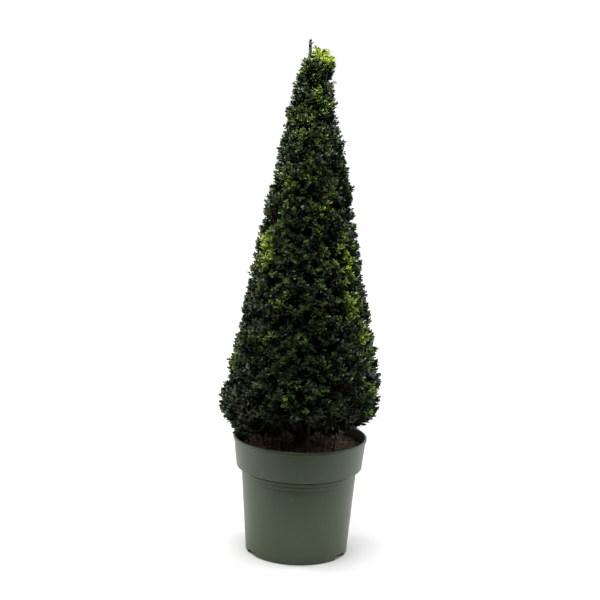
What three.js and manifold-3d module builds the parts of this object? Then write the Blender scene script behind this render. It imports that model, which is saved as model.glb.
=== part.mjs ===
// A clipped box cone in a five litre grower's pot, in millimetres with +Z up.
// The origin is the centre of the pot's flat underside.
// The pot holds compost, one trunk runs up to the leader, boughs rise from its foot,
// and the crown is a stack of masses, each a core with leafy shoots standing out of it.
import * as THREE from "three";
import { mergeVertices } from "three/addons/utils/BufferGeometryUtils.js";
import Module from "manifold-3d";

const wasm = await Module();
wasm.setup();

// Clearance between neighbouring solids
const GAP = 0.3;

// Pot
const POT_HEIGHT = 195;
const RIM_RADIUS = 110;
const LIP_HEIGHT = 6;
const LIP_PROUD = 1.5;
const BAND_HEIGHT = 51;
const BAND_FOOT_RADIUS = 103.5;
const STEP_RISE = 3;
const NECK_RADIUS = 95;
const FOOT_RADIUS = 84;
const FOOT_ROUND = 2;
const WALL = 1.8;
const FLOOR = 2.4;
const DRAIN_HOLES = 3;
const DRAIN_WIDTH = 30;
const DRAIN_HEIGHT = 6.5;
const DRAIN_DEPTH = 11;
const DRAIN_SHOULDER_SHARE = 0.4;
const POT_SEGMENTS = 48;

// Compost
const COMPOST_BELOW_RIM = 17;
const COMPOST_MOUND = 4;
const COMPOST_LUMP = 1.3;
const COMPOST_FLAT_RADIUS = 17;
const COMPOST_RINGS = 5;
const COMPOST_SEGMENTS = 28;

// Trunk and the boughs at its foot
const LIMB_NUDGE = 0.01;
const TRUNK_TIP = new THREE.Vector3(-6.5, 3, 835);
const TRUNK_RADIUS = 7;
const TRUNK_TIP_RADIUS = 1.3;
const FLARE_RADIUS = 11.5;
const FLARE_HEIGHT = 16;
const TRUNK_BOW = new THREE.Vector3(2.5, -5, 0);
const TRUNK_TAPER_POWER = 0.85;
const TRUNK_STEP_POWER = 1.6;
const TRUNK_SIDES = 8;
const TRUNK_STEPS = 20;
const BOUGHS = 7;
const BOUGH_SEED = 500;
const BOUGH_TURN_SPREAD = 0.35;
const BOUGH_FOOT_RISE = [9, 17];
const BOUGH_SEAT_SHARE = 0.75;
const BOUGH_SEAT_STEP = 0.1;
const BOUGH_KNEE_OUT = 0.62;
const BOUGH_KNEE_UP = 0.3;
const BOUGH_RADIUS = 3;
const BOUGH_TIP_RADIUS = 2.1;
const BOUGH_REACH = [44, 66];
const BOUGH_TOP = 246;
const BOUGH_SIDES = 6;
const BOUGH_STEPS = 6;

// Crown outline, as [height, radius] from the underside of its skirt up to its top
const CROWN_WIDEST = [258, 133];
const CROWN_SUMMIT = [824, 9];
const CROWN_OUTLINE = [[205, 86], [206, 102], [216, 119], [236, 130], CROWN_WIDEST, [804, 25], CROWN_SUMMIT];
const CORE_FOOT = 228;
const CORE_TOP = 814;
const CORE_LEAST_WALL = 3.4;
const CORE_SEGMENTS = 20;
const CORE_RINGS = 2;
const CORE_LUMP = 2.4;
const CORE_LUMP_MOST = 0.08;
const CORE_AXIS_RADIUS = 1;
const CORE_DEPTH_SHARE = 0.8;

// Masses, each from the outline height where it starts to where the next one does
const MASSES = ["crown_skirt", "crown_lower", "crown_middle", "crown_upper", "crown_top"];
const MASS_STARTS = [200, 328, 455, 577, 690, 860];
const MASS_SLOPE = 0.5;
const MASS_GAP = 1.2;
const LAYER_ROUNDS = 30;

// Shoots and leaves
const SEED = 2741;
const OUTLINE_STEP = 2;
const SHOOTS = 142;
const SHOOT_SEED = 1000;
const GOLDEN_ANGLE = Math.PI * (3 - Math.sqrt(5));
const SHOOT_TURN_SPREAD = 0.25;
const SHOOT_LEAN = THREE.MathUtils.degToRad(30);
const SHOOT_NORMAL_SHARE = 0.55;
const SHOOT_JITTER = THREE.MathUtils.degToRad(11);
const SHOOT_LENGTH_SHARE = 0.95;
const SHOOT_LEAST = 8;
const SHOOT_STEP = 1;
const SHOOT_DEPTH = 3;
const SHOOT_RADIUS = 2.2;
const SHOOT_TIP_RADIUS = 1.2;
const PAIRS = [
  { backShare: 0.03, angle: THREE.MathUtils.degToRad(36) },
  { backShare: 0.37, angle: THREE.MathUtils.degToRad(58) },
];
const LEAF_LENGTH_FOOT = 33;
const LEAF_LENGTH_TOP = 22;
const LEAF_LEAST = 0.88;
const LEAF_SPREAD = 0.2;
const LEAF_WIDTH_SHARE = 0.62;
const LEAF_THICK_SHARE = 0.07;
const LEAF_WIDEST = 0.48;
const LEAF_ROOT = 0.5;
const LEAF_CUP = 0.06;
const LEAF_TURNS = [0, 40, -40, 90].map(THREE.MathUtils.degToRad);
const INSET_SHARE = 1.02;
const RIM_CLEARANCE = 4;

// Looks
const POT_GREEN = "#5f6b52";
const COMPOST_BROWN = "#2a1d16";
const BARK_BROWN = "#6b5a45";
const LEAF_GREENS = ["#25361c", "#28391c", "#2b3f1c", "#33481e", "#425a1f"];
const POT_ROUGHNESS = 0.5;
const PLANT_ROUGHNESS = 0.75;
const COMPOST_ROUGHNESS = 0.95;

const UP = new THREE.Vector3(0, 0, 1);

/** A seeded source of numbers from 0 to 1. */
function randomFrom(seed) {
  let state = seed >>> 0;
  return () => {
    state = (state + 0x6d2b79f5) >>> 0;
    let mixed = Math.imul(state ^ (state >>> 15), state | 1);
    mixed ^= mixed + Math.imul(mixed ^ (mixed >>> 7), mixed | 61);
    return ((mixed ^ (mixed >>> 14)) >>> 0) / 4294967296;
  };
}

/** A closed geometry as a solid that can be joined and cut. */
function solidOf(geometry) {
  const bare = geometry.clone();
  bare.deleteAttribute("normal");
  bare.deleteAttribute("uv");
  const merged = mergeVertices(bare, 1e-3);
  return new wasm.Manifold(
    new wasm.Mesh({
      numProp: 3,
      vertProperties: merged.attributes.position.array,
      triVerts: new Uint32Array(merged.index.array),
    }),
  );
}

/** The geometry of a solid's largest body. */
function geometryOf(solid) {
  const bodies = solid.decompose().sort((a, b) => b.volume() - a.volume());
  const mesh = bodies[0].getMesh();
  const geometry = new THREE.BufferGeometry();
  geometry.setAttribute("position", new THREE.BufferAttribute(mesh.vertProperties, 3));
  geometry.setIndex(new THREE.BufferAttribute(mesh.triVerts, 1));
  geometry.computeVertexNormals();
  return geometry;
}

/** A geometry from a list of points and a list of triangles. */
function geometryFrom(points, triangles) {
  const geometry = new THREE.BufferGeometry().setFromPoints(points);
  geometry.setIndex(triangles);
  geometry.computeVertexNormals();
  return geometry;
}

/** A profile of [radius, height] points turned about the Z axis. */
function turned(profile, segments) {
  const outline = profile.map(([radius, height]) => new THREE.Vector2(radius, height));
  return new THREE.LatheGeometry(outline, segments).rotateX(Math.PI / 2);
}

/** A named mesh in its own colour. */
function part(name, geometry, color, roughness) {
  const material = new THREE.MeshStandardMaterial({ color, roughness, metalness: 0 });
  const mesh = new THREE.Mesh(geometry, material);
  mesh.name = name;
  return mesh;
}

/** Rings of points joined into one closed skin, with a fan over each end. */
function skinned(rings) {
  const sides = rings[0].length;
  const points = rings.flat();
  const triangles = [];
  for (let ring = 0; ring + 1 < rings.length; ring++) {
    for (let side = 0; side < sides; side++) {
      const here = ring * sides + side;
      const next = ring * sides + ((side + 1) % sides);
      triangles.push(here, next, next + sides, here, next + sides, here + sides);
    }
  }
  const last = (rings.length - 1) * sides;
  for (let side = 1; side + 1 < sides; side++) {
    triangles.push(0, side + 1, side, last, last + side, last + side + 1);
  }
  return geometryFrom(points, triangles);
}

/** A limb: a centre line and a radius, each a function of the share of its length. */
class Limb {
  constructor(line, radius, sides, steps) {
    Object.assign(this, { line, radius, sides, steps });
  }

  /** The limb's skin, grown by a clearance and run on past its tip by the same. */
  geometry(grow = 0) {
    const rings = [];
    for (let step = 0; step <= this.steps; step++) {
      const share = step / this.steps;
      const ahead = this.line(Math.min(share + LIMB_NUDGE, 1));
      const along = ahead.sub(this.line(Math.max(share - LIMB_NUDGE, 0))).normalize();
      const across = new THREE.Vector3(0, 1, 0).cross(along).normalize();
      const beside = along.clone().cross(across);
      const centre = this.line(share);
      if (step === 0) centre.addScaledVector(along, -grow);
      if (step === this.steps) centre.addScaledVector(along, grow);
      const ring = [];
      for (let side = 0; side < this.sides; side++) {
        const turn = (2 * Math.PI * side) / this.sides;
        const reach = this.radius(share) + grow / Math.cos(Math.PI / this.sides);
        const point = centre.clone();
        point.addScaledVector(across, Math.cos(turn) * reach);
        point.addScaledVector(beside, Math.sin(turn) * reach);
        ring.push(point);
      }
      rings.push(ring);
    }
    return skinned(rings);
  }

  /** How far a point is from the limb's skin. */
  distanceTo(point) {
    let least = Infinity;
    for (let step = 0; step < this.steps; step++) {
      const low = step / this.steps;
      const high = (step + 1) / this.steps;
      const nearest = new THREE.Vector3();
      new THREE.Line3(this.line(low), this.line(high)).closestPointToPoint(point, true, nearest);
      least = Math.min(least, nearest.distanceTo(point) - this.radius(low));
    }
    return least;
  }
}

/** The inside of the pot, from the axis on the floor up to the rim, taken in by a clearance. */
function insideOfPot(clear) {
  const shelf = POT_HEIGHT - BAND_HEIGHT + WALL;
  return [
    [0, FLOOR + clear],
    [FOOT_RADIUS - WALL - clear, FLOOR + clear],
    [NECK_RADIUS - WALL - clear, shelf - STEP_RISE + clear],
    [BAND_FOOT_RADIUS - WALL - clear, shelf + clear],
    [RIM_RADIUS - LIP_PROUD - WALL - clear, POT_HEIGHT],
  ];
}

/** The pot: a stepped, tapering wall with a lip, a flat floor and drain holes round its foot. */
function makePot() {
  const band = POT_HEIGHT - BAND_HEIGHT;
  const lip = POT_HEIGHT - LIP_HEIGHT;
  const outside = [
    [0, 0],
    [FOOT_RADIUS - FOOT_ROUND, 0],
    [FOOT_RADIUS, FOOT_ROUND],
    [NECK_RADIUS, band - STEP_RISE],
    [BAND_FOOT_RADIUS, band],
    [RIM_RADIUS - LIP_PROUD, lip],
    [RIM_RADIUS, lip + 1],
    [RIM_RADIUS, POT_HEIGHT - 1],
    [RIM_RADIUS - 1, POT_HEIGHT],
  ];
  let pot = solidOf(turned([...outside, ...insideOfPot(0).reverse()], POT_SEGMENTS));
  for (let hole = 0; hole < DRAIN_HOLES; hole++) {
    pot = pot.subtract(solidOf(drainCutter((2 * Math.PI * hole) / DRAIN_HOLES)));
  }
  return part("pot", geometryOf(pot), POT_GREEN, POT_ROUGHNESS);
}

/** An arched block through the corner of the pot's foot, at an angle round it. */
function drainCutter(angle) {
  const half = DRAIN_WIDTH / 2;
  const shoulder = DRAIN_HEIGHT * DRAIN_SHOULDER_SHARE;
  const arch = new THREE.Shape();
  arch.moveTo(-half, -1);
  arch.lineTo(half, -1);
  arch.lineTo(half, shoulder);
  arch.quadraticCurveTo(half, DRAIN_HEIGHT, half * DRAIN_SHOULDER_SHARE, DRAIN_HEIGHT);
  arch.lineTo(-half * DRAIN_SHOULDER_SHARE, DRAIN_HEIGHT);
  arch.quadraticCurveTo(-half, DRAIN_HEIGHT, -half, shoulder);
  const depth = 2 * DRAIN_DEPTH;
  const block = new THREE.ExtrudeGeometry(arch, { depth, bevelEnabled: false, curveSegments: 3 });
  block.rotateX(Math.PI / 2);
  block.translate(0, FOOT_RADIUS + DRAIN_DEPTH, 0);
  return block.rotateZ(angle);
}

/** The height of the compost at a distance from the axis. */
function compostHeight(radius) {
  const share = Math.min(radius / BAND_FOOT_RADIUS, 1);
  return POT_HEIGHT - COMPOST_BELOW_RIM + COMPOST_MOUND * (1 - share * share);
}

/** The compost: it fills the pot 0.3 mm clear, with a lumpy top that is flat under the trunk. */
function makeCompost() {
  const random = randomFrom(SEED);
  const sideProfile = insideOfPot(GAP).slice(1, 4);
  const wallSlope = (RIM_RADIUS - LIP_PROUD - BAND_FOOT_RADIUS) / BAND_HEIGHT;
  const edge = sideProfile[2][0] + wallSlope * (compostHeight(BAND_FOOT_RADIUS) - sideProfile[2][1]);
  const rows = sideProfile.map(([radius, height]) => ({ radius, height, lump: 0 }));
  rows.push({ radius: edge - GAP, height: compostHeight(edge), lump: 0 });
  for (let ring = COMPOST_RINGS - 1; ring > 0; ring--) {
    const radius = COMPOST_FLAT_RADIUS + ((edge - COMPOST_FLAT_RADIUS) * ring) / COMPOST_RINGS;
    rows.push({ radius, height: compostHeight(radius), lump: COMPOST_LUMP });
  }
  rows.push({ radius: COMPOST_FLAT_RADIUS, height: compostHeight(0), lump: 0 });
  const rings = rows.map(({ radius, height, lump }) => {
    const ring = [];
    for (let segment = 0; segment < COMPOST_SEGMENTS; segment++) {
      const turn = (2 * Math.PI * segment) / COMPOST_SEGMENTS;
      const rise = lump * (2 * random() - 1);
      ring.push(new THREE.Vector3(radius * Math.cos(turn), radius * Math.sin(turn), height + rise));
    }
    return ring;
  });
  return part("compost", skinned(rings), COMPOST_BROWN, COMPOST_ROUGHNESS);
}

/** The trunk: from a flat cut on the compost, with a root flare and a slight bow, to the leader's tip. */
function trunkLimb() {
  const foot = compostHeight(0) + GAP;
  const rise = TRUNK_TIP.z - foot;
  const line = (share) => {
    // Steps are closer together in the flare
    const up = share ** TRUNK_STEP_POWER;
    const point = new THREE.Vector3(TRUNK_TIP.x * up * up, TRUNK_TIP.y * up * up, foot + rise * up);
    return point.addScaledVector(TRUNK_BOW, Math.sin(Math.PI * up) ** 2);
  };
  const radius = (share) => {
    const up = share ** TRUNK_STEP_POWER;
    const taper = THREE.MathUtils.lerp(TRUNK_RADIUS, TRUNK_TIP_RADIUS, up ** TRUNK_TAPER_POWER);
    return taper + (FLARE_RADIUS - TRUNK_RADIUS) * Math.exp((-up * rise) / FLARE_HEIGHT);
  };
  return new Limb(line, radius, TRUNK_SIDES, TRUNK_STEPS);
}

/** A bough that rises from beside the trunk's foot and ends inside the skirt. */
function boughLimb(index, trunk) {
  const random = randomFrom(SEED + BOUGH_SEED + index);
  const turn = (2 * Math.PI * (index + BOUGH_TURN_SPREAD * random())) / BOUGHS;
  const out = new THREE.Vector3(Math.cos(turn), Math.sin(turn), 0);
  const rise = THREE.MathUtils.lerp(BOUGH_FOOT_RISE[0], BOUGH_FOOT_RISE[1], random());
  const axisPoint = new THREE.Vector3(0, 0, compostHeight(0) + rise);
  const pointOut = (distance) => axisPoint.clone().addScaledVector(out, distance);
  let clear = 0;
  while (trunk.distanceTo(pointOut(clear)) < BOUGH_RADIUS * BOUGH_SEAT_SHARE + GAP) clear += BOUGH_SEAT_STEP;
  const foot = pointOut(clear);
  const reach = THREE.MathUtils.lerp(BOUGH_REACH[0], BOUGH_REACH[1], random());
  const tip = out.clone().multiplyScalar(reach).setZ(BOUGH_TOP);
  const knee = foot.clone().lerp(tip, BOUGH_KNEE_OUT);
  knee.z = THREE.MathUtils.lerp(foot.z, tip.z, BOUGH_KNEE_UP);
  const curve = new THREE.QuadraticBezierCurve3(foot, knee, tip);
  const radius = (share) => THREE.MathUtils.lerp(BOUGH_RADIUS, BOUGH_TIP_RADIUS, share);
  return new Limb((share) => curve.getPoint(share), radius, BOUGH_SIDES, BOUGH_STEPS);
}

/** The crown's radius at a height; above and below the outline it stays as at its end. */
function crownRadius(height) {
  const above = CROWN_OUTLINE.findIndex(([z]) => z > height);
  if (above === 0) return CROWN_OUTLINE[0][1];
  if (above < 0) return CROWN_SUMMIT[1];
  const [z0, r0] = CROWN_OUTLINE[above - 1];
  const [z1, r1] = CROWN_OUTLINE[above];
  return THREE.MathUtils.mapLinear(height, z0, z1, r0, r1);
}

/** How far up the crown a height is, from 0 at its widest to 1 at its summit. */
function crownShare(height) {
  const share = (height - CROWN_WIDEST[0]) / (CROWN_SUMMIT[0] - CROWN_WIDEST[0]);
  return THREE.MathUtils.clamp(share, 0, 1);
}

/** The crown's outline walked in short steps, each with its share of the shoots up to there. */
function walkOutline() {
  const steps = [];
  let sum = 0;
  for (let n = 1; n < CROWN_OUTLINE.length; n++) {
    const [z0, r0] = CROWN_OUTLINE[n - 1];
    const [z1, r1] = CROWN_OUTLINE[n];
    const length = Math.hypot(z1 - z0, r1 - r0);
    const count = Math.ceil(length / OUTLINE_STEP);
    for (let step = 0; step < count; step++) {
      const height = THREE.MathUtils.lerp(z0, z1, (step + 0.5) / count);
      const radius = THREE.MathUtils.lerp(r0, r1, (step + 0.5) / count);
      sum += ((length / count) * radius) / leafLength(height) ** 2;
      steps.push({ height, radius, normal: Math.atan2(r0 - r1, z1 - z0), sum });
    }
  }
  return steps.map((step) => ({ ...step, share: step.sum / sum }));
}

/** The core's radius at a height. */
function coreRadius(height) {
  const leaf = leafLength(height);
  const least = TRUNK_RADIUS * (1 - crownShare(height)) + CORE_LEAST_WALL;
  return Math.max(crownRadius(height) - CORE_DEPTH_SHARE * leaf, least);
}

/** The length of a leaf at a height: they are shorter towards the top. */
function leafLength(height) {
  return THREE.MathUtils.lerp(LEAF_LENGTH_FOOT, LEAF_LENGTH_TOP, crownShare(height));
}

/** Which level of the slanting layers a point is on: masses part where this crosses their start. */
function layerOf(point) {
  return point.z - MASS_SLOPE * Math.hypot(point.x, point.y);
}

/** The layer that passes through the crown's outline at a height. */
function layerAt(height) {
  return height - MASS_SLOPE * crownRadius(height);
}

/** The height where a layer meets the core's surface. */
function coreMeets(layer) {
  let height = layer;
  for (let round = 0; round < LAYER_ROUNDS; round++) height = layer + MASS_SLOPE * coreRadius(height);
  return height;
}

/** A mass's core: a lumpy ring between two slanting layers, solid to the axis until the trunk is cut out. */
function coreSolid(mass, low, high, random) {
  const isFoot = mass === 0;
  const isTop = mass === MASSES.length - 1;
  const bottom = isFoot ? CORE_FOOT : coreMeets(low);
  const top = isTop ? CORE_TOP : coreMeets(high);
  const axisRise = MASS_SLOPE * CORE_AXIS_RADIUS;
  const rows = [{ radius: CORE_AXIS_RADIUS, height: isFoot ? CORE_FOOT : low + axisRise, lump: 0 }];
  for (let ring = 0; ring <= CORE_RINGS + 1; ring++) {
    const height = THREE.MathUtils.lerp(bottom, top, ring / (CORE_RINGS + 1));
    const radius = coreRadius(height);
    const isInner = ring > 0 && ring <= CORE_RINGS;
    rows.push({ radius, height, lump: isInner ? Math.min(CORE_LUMP, radius * CORE_LUMP_MOST) : 0 });
  }
  rows.push({ radius: CORE_AXIS_RADIUS, height: isTop ? CORE_TOP : high + axisRise, lump: 0 });
  const rings = rows.map(({ radius, height, lump }) => {
    const ring = [];
    for (let segment = 0; segment < CORE_SEGMENTS; segment++) {
      const turn = (2 * Math.PI * segment) / CORE_SEGMENTS;
      const reach = radius + lump * (2 * random() - 1);
      ring.push(new THREE.Vector3(reach * Math.cos(turn), reach * Math.sin(turn), height));
    }
    return ring;
  });
  return solidOf(skinned(rings));
}

/** A shoot by the crown's rule: where its tip is, the way it grows, its leaf size and its random source. */
function shootAt(index) {
  const random = randomFrom(SEED + SHOOT_SEED + index);
  const share = (index + 0.5) / SHOOTS;
  const { radius, height, normal } = OUTLINE_STEPS.find((step) => step.share >= share);
  const turn = index * GOLDEN_ANGLE + SHOOT_TURN_SPREAD * (random() - 0.5);
  const lean = SHOOT_LEAN + SHOOT_NORMAL_SHARE * normal + SHOOT_JITTER * (2 * random() - 1);
  const out = new THREE.Vector3(Math.cos(turn), Math.sin(turn), 0);
  const along = out.clone().multiplyScalar(Math.cos(lean)).addScaledVector(UP, Math.sin(lean));
  const leaf = leafLength(height);
  const tip = out.multiplyScalar(radius).setZ(height).addScaledVector(along, -INSET_SHARE * leaf);
  return { tip, along, leaf, random };
}

/** The six corners of a leaf that grows from a root, with its upper side facing a way. */
function leafPoints(root, along, facing, length) {
  const across = facing.clone().cross(along).normalize();
  const over = along.clone().cross(across).normalize();
  const half = (LEAF_WIDTH_SHARE * length) / 2;
  const thick = (LEAF_THICK_SHARE * length) / 2;
  const cup = LEAF_CUP * length;
  const corners = [
    [-LEAF_ROOT, 0, 0],
    [LEAF_WIDEST * length, -half, cup],
    [length, 0, cup],
    [LEAF_WIDEST * length, half, cup],
    [LEAF_WIDEST * length, 0, thick],
    [LEAF_WIDEST * length, 0, -thick],
  ];
  return corners.map(([x, y, z]) => {
    const point = root.clone().addScaledVector(along, x);
    return point.addScaledVector(across, y).addScaledVector(over, z);
  });
}

/** A leaf's solid of eight faces from its six corners: four round the edge, one on top and one below. */
function leafSolid(points) {
  const triangles = [];
  for (let edge = 0; edge < 4; edge++) {
    const next = (edge + 1) % 4;
    triangles.push(4, edge, next, 5, next, edge);
  }
  return solidOf(geometryFrom(points, triangles));
}

/** Points over a leaf at which its clearances are tested. */
function leafSamples(points) {
  const samples = [...points];
  for (let edge = 0; edge < 4; edge++) {
    samples.push(points[edge].clone().lerp(points[(edge + 1) % 4], 0.5));
    samples.push(points[edge].clone().lerp(points[4], 0.5));
  }
  return samples;
}

/** A leafy shoot: a three-sided twig rooted in the core, with crosswise pairs of leaves. */
function shootSolids(shoot, fits) {
  const { tip, along, leaf, random } = shoot;
  let length = SHOOT_LENGTH_SHARE * leaf;
  const pointAt = (back) => tip.clone().addScaledVector(along, -back);
  while (length > SHOOT_LEAST && !fits(pointAt(length), SHOOT_RADIUS)) length -= SHOOT_STEP;
  const root = pointAt(length);
  const depth = coreRadius(root.z) - Math.hypot(root.x, root.y);
  if (depth < SHOOT_DEPTH || !fits(root, SHOOT_RADIUS) || !fits(tip, SHOOT_RADIUS)) return [];
  const line = (share) => root.clone().lerp(tip, share);
  const radius = (share) => THREE.MathUtils.lerp(SHOOT_RADIUS, SHOOT_TIP_RADIUS, share);
  const solids = [solidOf(new Limb(line, radius, 3, 1).geometry())];
  const side = UP.clone().cross(along).normalize();
  const start = random() * Math.PI;
  PAIRS.forEach(({ backShare, angle }, pair) => {
    const back = backShare * leaf;
    const size = leaf * (LEAF_LEAST + LEAF_SPREAD * random());
    if (back > length) return;
    for (let hand = 0; hand < 2; hand++) {
      const spin = start + (pair + 2 * hand) * (Math.PI / 2);
      const points = leafThatFits(pointAt(back), along, side, { spin, angle, size }, fits);
      if (points) solids.push(leafSolid(points));
    }
  });
  return solids;
}

/** The corners of a leaf, turned round its shoot until it keeps to its space, or nothing. */
function leafThatFits(node, along, side, { spin, angle, size }, fits) {
  for (const nudge of LEAF_TURNS) {
    const outward = side.clone().applyAxisAngle(along, spin + nudge);
    const way = along.clone().multiplyScalar(Math.cos(angle)).addScaledVector(outward, Math.sin(angle));
    const points = leafPoints(node, way, along, size);
    if (leafSamples(points).every((point) => fits(point, GAP))) return points;
  }
  return null;
}

/** One mass of the crown, kept between two slanting layers and clear of every limb. */
function makeMass(mass, limbs) {
  const random = randomFrom(SEED + 100 * (mass + 1));
  const isTop = mass === MASSES.length - 1;
  const low = layerAt(MASS_STARTS[mass]) + MASS_GAP / 2;
  const high = layerAt(MASS_STARTS[mass + 1]) - MASS_GAP / 2;
  const fits = (point, clear) => {
    const layer = layerOf(point);
    const inSpace = (mass === 0 || layer > low + clear) && (isTop || layer < high - clear);
    const inReach = point.z > POT_HEIGHT + RIM_CLEARANCE && point.z < TRUNK_TIP.z;
    return inSpace && inReach && limbs.every((limb) => limb.distanceTo(point) > GAP + clear);
  };
  const solids = [coreSolid(mass, low, high, random)];
  for (let index = 0; index < SHOOTS; index++) {
    const shoot = shootAt(index);
    const layer = layerOf(shoot.tip);
    const above = mass === 0 || layer >= layerAt(MASS_STARTS[mass]);
    const below = isTop || layer < layerAt(MASS_STARTS[mass + 1]);
    if (above && below) solids.push(...shootSolids(shoot, fits));
  }
  let joined = solids.reduce((whole, piece) => whole.add(piece));
  for (const limb of limbs) joined = joined.subtract(solidOf(limb.geometry(GAP)));
  return part(MASSES[mass], geometryOf(joined), LEAF_GREENS[mass], PLANT_ROUGHNESS);
}

const OUTLINE_STEPS = walkOutline();

const plant = new THREE.Group();
plant.add(makePot(), makeCompost());

const trunk = trunkLimb();
plant.add(part("trunk", trunk.geometry(), BARK_BROWN, PLANT_ROUGHNESS));

const limbs = [trunk];
for (let index = 0; index < BOUGHS; index++) {
  const bough = boughLimb(index, trunk);
  limbs.push(bough);
  plant.add(part(`bough_${index + 1}`, bough.geometry(), BARK_BROWN, PLANT_ROUGHNESS));
}

for (let mass = 0; mass < MASSES.length; mass++) plant.add(makeMass(mass, limbs));

export default plant;
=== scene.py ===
"""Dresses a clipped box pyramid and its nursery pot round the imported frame.

The plant grows by the same seeded rule as the solids it stands for, carried on to finer twigs and leaves.
It is worked out in millimetres, and its pieces are made in metres. Heights are measured from the pot's
underside, and angles round the pot from the right of the front view, so the front is at -90 degrees.
"""
import logging
import math
from dataclasses import dataclass, field
from enum import Enum, IntEnum

import bmesh
import bpy
import numpy as np
from mathutils import Matrix, Vector, noise


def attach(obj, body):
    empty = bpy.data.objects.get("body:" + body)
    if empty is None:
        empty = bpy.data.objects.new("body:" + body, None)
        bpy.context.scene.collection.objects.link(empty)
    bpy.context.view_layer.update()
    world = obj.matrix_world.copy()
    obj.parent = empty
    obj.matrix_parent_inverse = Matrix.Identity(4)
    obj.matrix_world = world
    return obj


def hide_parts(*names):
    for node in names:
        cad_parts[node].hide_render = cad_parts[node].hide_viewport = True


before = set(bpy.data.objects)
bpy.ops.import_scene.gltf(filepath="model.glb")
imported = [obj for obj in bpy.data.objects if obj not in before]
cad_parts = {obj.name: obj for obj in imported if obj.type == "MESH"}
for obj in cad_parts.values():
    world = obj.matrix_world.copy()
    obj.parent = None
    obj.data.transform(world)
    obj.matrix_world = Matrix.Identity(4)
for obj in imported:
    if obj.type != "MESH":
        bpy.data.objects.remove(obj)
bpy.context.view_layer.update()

MM = 0.001
FULL_TURN = 2 * math.pi
GOLDEN_ANGLE = math.pi * (3 - math.sqrt(5))
UP = np.array((0.0, 0.0, 1.0))
SEED = 2741

Span = tuple[float, float]
Place = tuple[float, float, float]
Material = bpy.types.Material
Piece = bpy.types.Object
Socket = bpy.types.NodeSocket

log = logging.getLogger("box_pyramid")


def linear(hex_colour: str) -> tuple[float, float, float, float]:
    """Turns an sRGB hex colour into the linear values that shaders take.

    Args:
        hex_colour: six hex digits after a hash.

    Returns:
        Linear red, green and blue, and an alpha of 1.
    """
    channels = [int(hex_colour[start:start + 2], 16) / 255 for start in (1, 3, 5)]
    toe = [value / 12.92 if value <= 0.04045 else ((value + 0.055) / 1.055) ** 2.4 for value in channels]
    return (*toe, 1.0)


def per_mm(size_mm: float) -> float:
    """Returns the scale of a pattern whose marks are this many millimetres wide."""
    return 1 / (size_mm * MM)


def clamped(value: float) -> float:
    """Returns a value held between 0 and 1."""
    return min(max(value, 0.0), 1.0)


def blend(low: float, high: float, share: float) -> float:
    """Returns the value at a share of the way from low to high."""
    return low + (high - low) * share


def unit(vector: np.ndarray) -> np.ndarray:
    """Returns vectors at unit length, along their last axis."""
    return vector / np.linalg.norm(vector, axis=-1, keepdims=True)


def outward(turn: float) -> np.ndarray:
    """Returns the level unit vector at an angle round the pot's axis."""
    return np.array((math.cos(turn), math.sin(turn), 0.0))


def bezier(start: np.ndarray, knee: np.ndarray, end: np.ndarray, shares: np.ndarray) -> np.ndarray:
    """Returns points of a curve from start to end that is drawn towards its knee."""
    t = shares[:, None]
    return start * (1 - t) ** 2 + knee * 2 * t * (1 - t) + end * t ** 2


class Growth(IntEnum):
    """What grows from seeded draws, and where its seeds start. Boughs and branches share the solids' own."""

    LOOSE_COMPOST = 0
    BOUGH = 500
    THIN_STEM = 700
    BRANCH = 1000
    OUTER_SHOOT = 5000
    INNER_SHOOT = 20000
    LEADER = 30000


class SeededDraws:
    """Numbers from 0 to 1, by the generator that places the shoots of the solids."""

    WORD = 0xFFFFFFFF
    STEP = 0x6D2B79F5

    def __init__(self, growth: Growth, index: int = 0) -> None:
        """Starts the numbers of one thing, by what it is and its place among its kind."""
        self.state = (SEED + growth + index) & self.WORD

    def __call__(self) -> float:
        """Draws the next number.

        Returns:
            A number from 0 up to, but not including, 1.
        """
        self.state = (self.state + self.STEP) & self.WORD
        mixed = ((self.state ^ (self.state >> 15)) * (self.state | 1)) & self.WORD
        mixed ^= (mixed + ((mixed ^ (mixed >> 7)) * (mixed | 61) & self.WORD)) & self.WORD
        return (mixed ^ (mixed >> 14)) / (self.WORD + 1)

    def between(self, low: float, high: float) -> float:
        """Returns the next number, spread from low to high."""
        return blend(low, high, self())


def mesh_piece(name: str, points: np.ndarray, faces: np.ndarray, material: Material) -> Piece:
    """Makes a smooth-shaded mesh object from arrays.

    Args:
        name: the piece's name.
        points: its vertices, one row of x, y and z each, in metres.
        faces: its faces, one row of vertex numbers each, all with as many corners.
        material: its material.

    Returns:
        The new object, linked into the scene.
    """
    mesh = bpy.data.meshes.new(name)
    count, corners = faces.shape
    mesh.vertices.add(len(points))
    mesh.vertices.foreach_set("co", points.astype(np.float32).ravel())
    mesh.loops.add(count * corners)
    mesh.loops.foreach_set("vertex_index", faces.astype(np.int32).ravel())
    mesh.polygons.add(count)
    mesh.polygons.foreach_set("loop_start", np.arange(0, count * corners, corners, dtype=np.int32))
    mesh.polygons.foreach_set("use_smooth", np.ones(count, dtype=bool))
    mesh.update(calc_edges=True)
    mesh.materials.append(material)
    piece = bpy.data.objects.new(name, mesh)
    bpy.context.scene.collection.objects.link(piece)
    return piece


def tube_faces(rings: int, sides: int) -> np.ndarray:
    """Lists the quads of an open tube of rings.

    Args:
        rings: how many rings it has.
        sides: how many points each ring has.

    Returns:
        One row of four vertex numbers for each quad, facing out where rings run up and turn anticlockwise.
    """
    ring, side = np.meshgrid(np.arange(rings - 1), np.arange(sides), indexing="ij")
    here, beside = ring * sides + side, ring * sides + (side + 1) % sides
    return np.stack([here, beside, beside + sides, here + sides], axis=-1).reshape(-1, 4)


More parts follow.
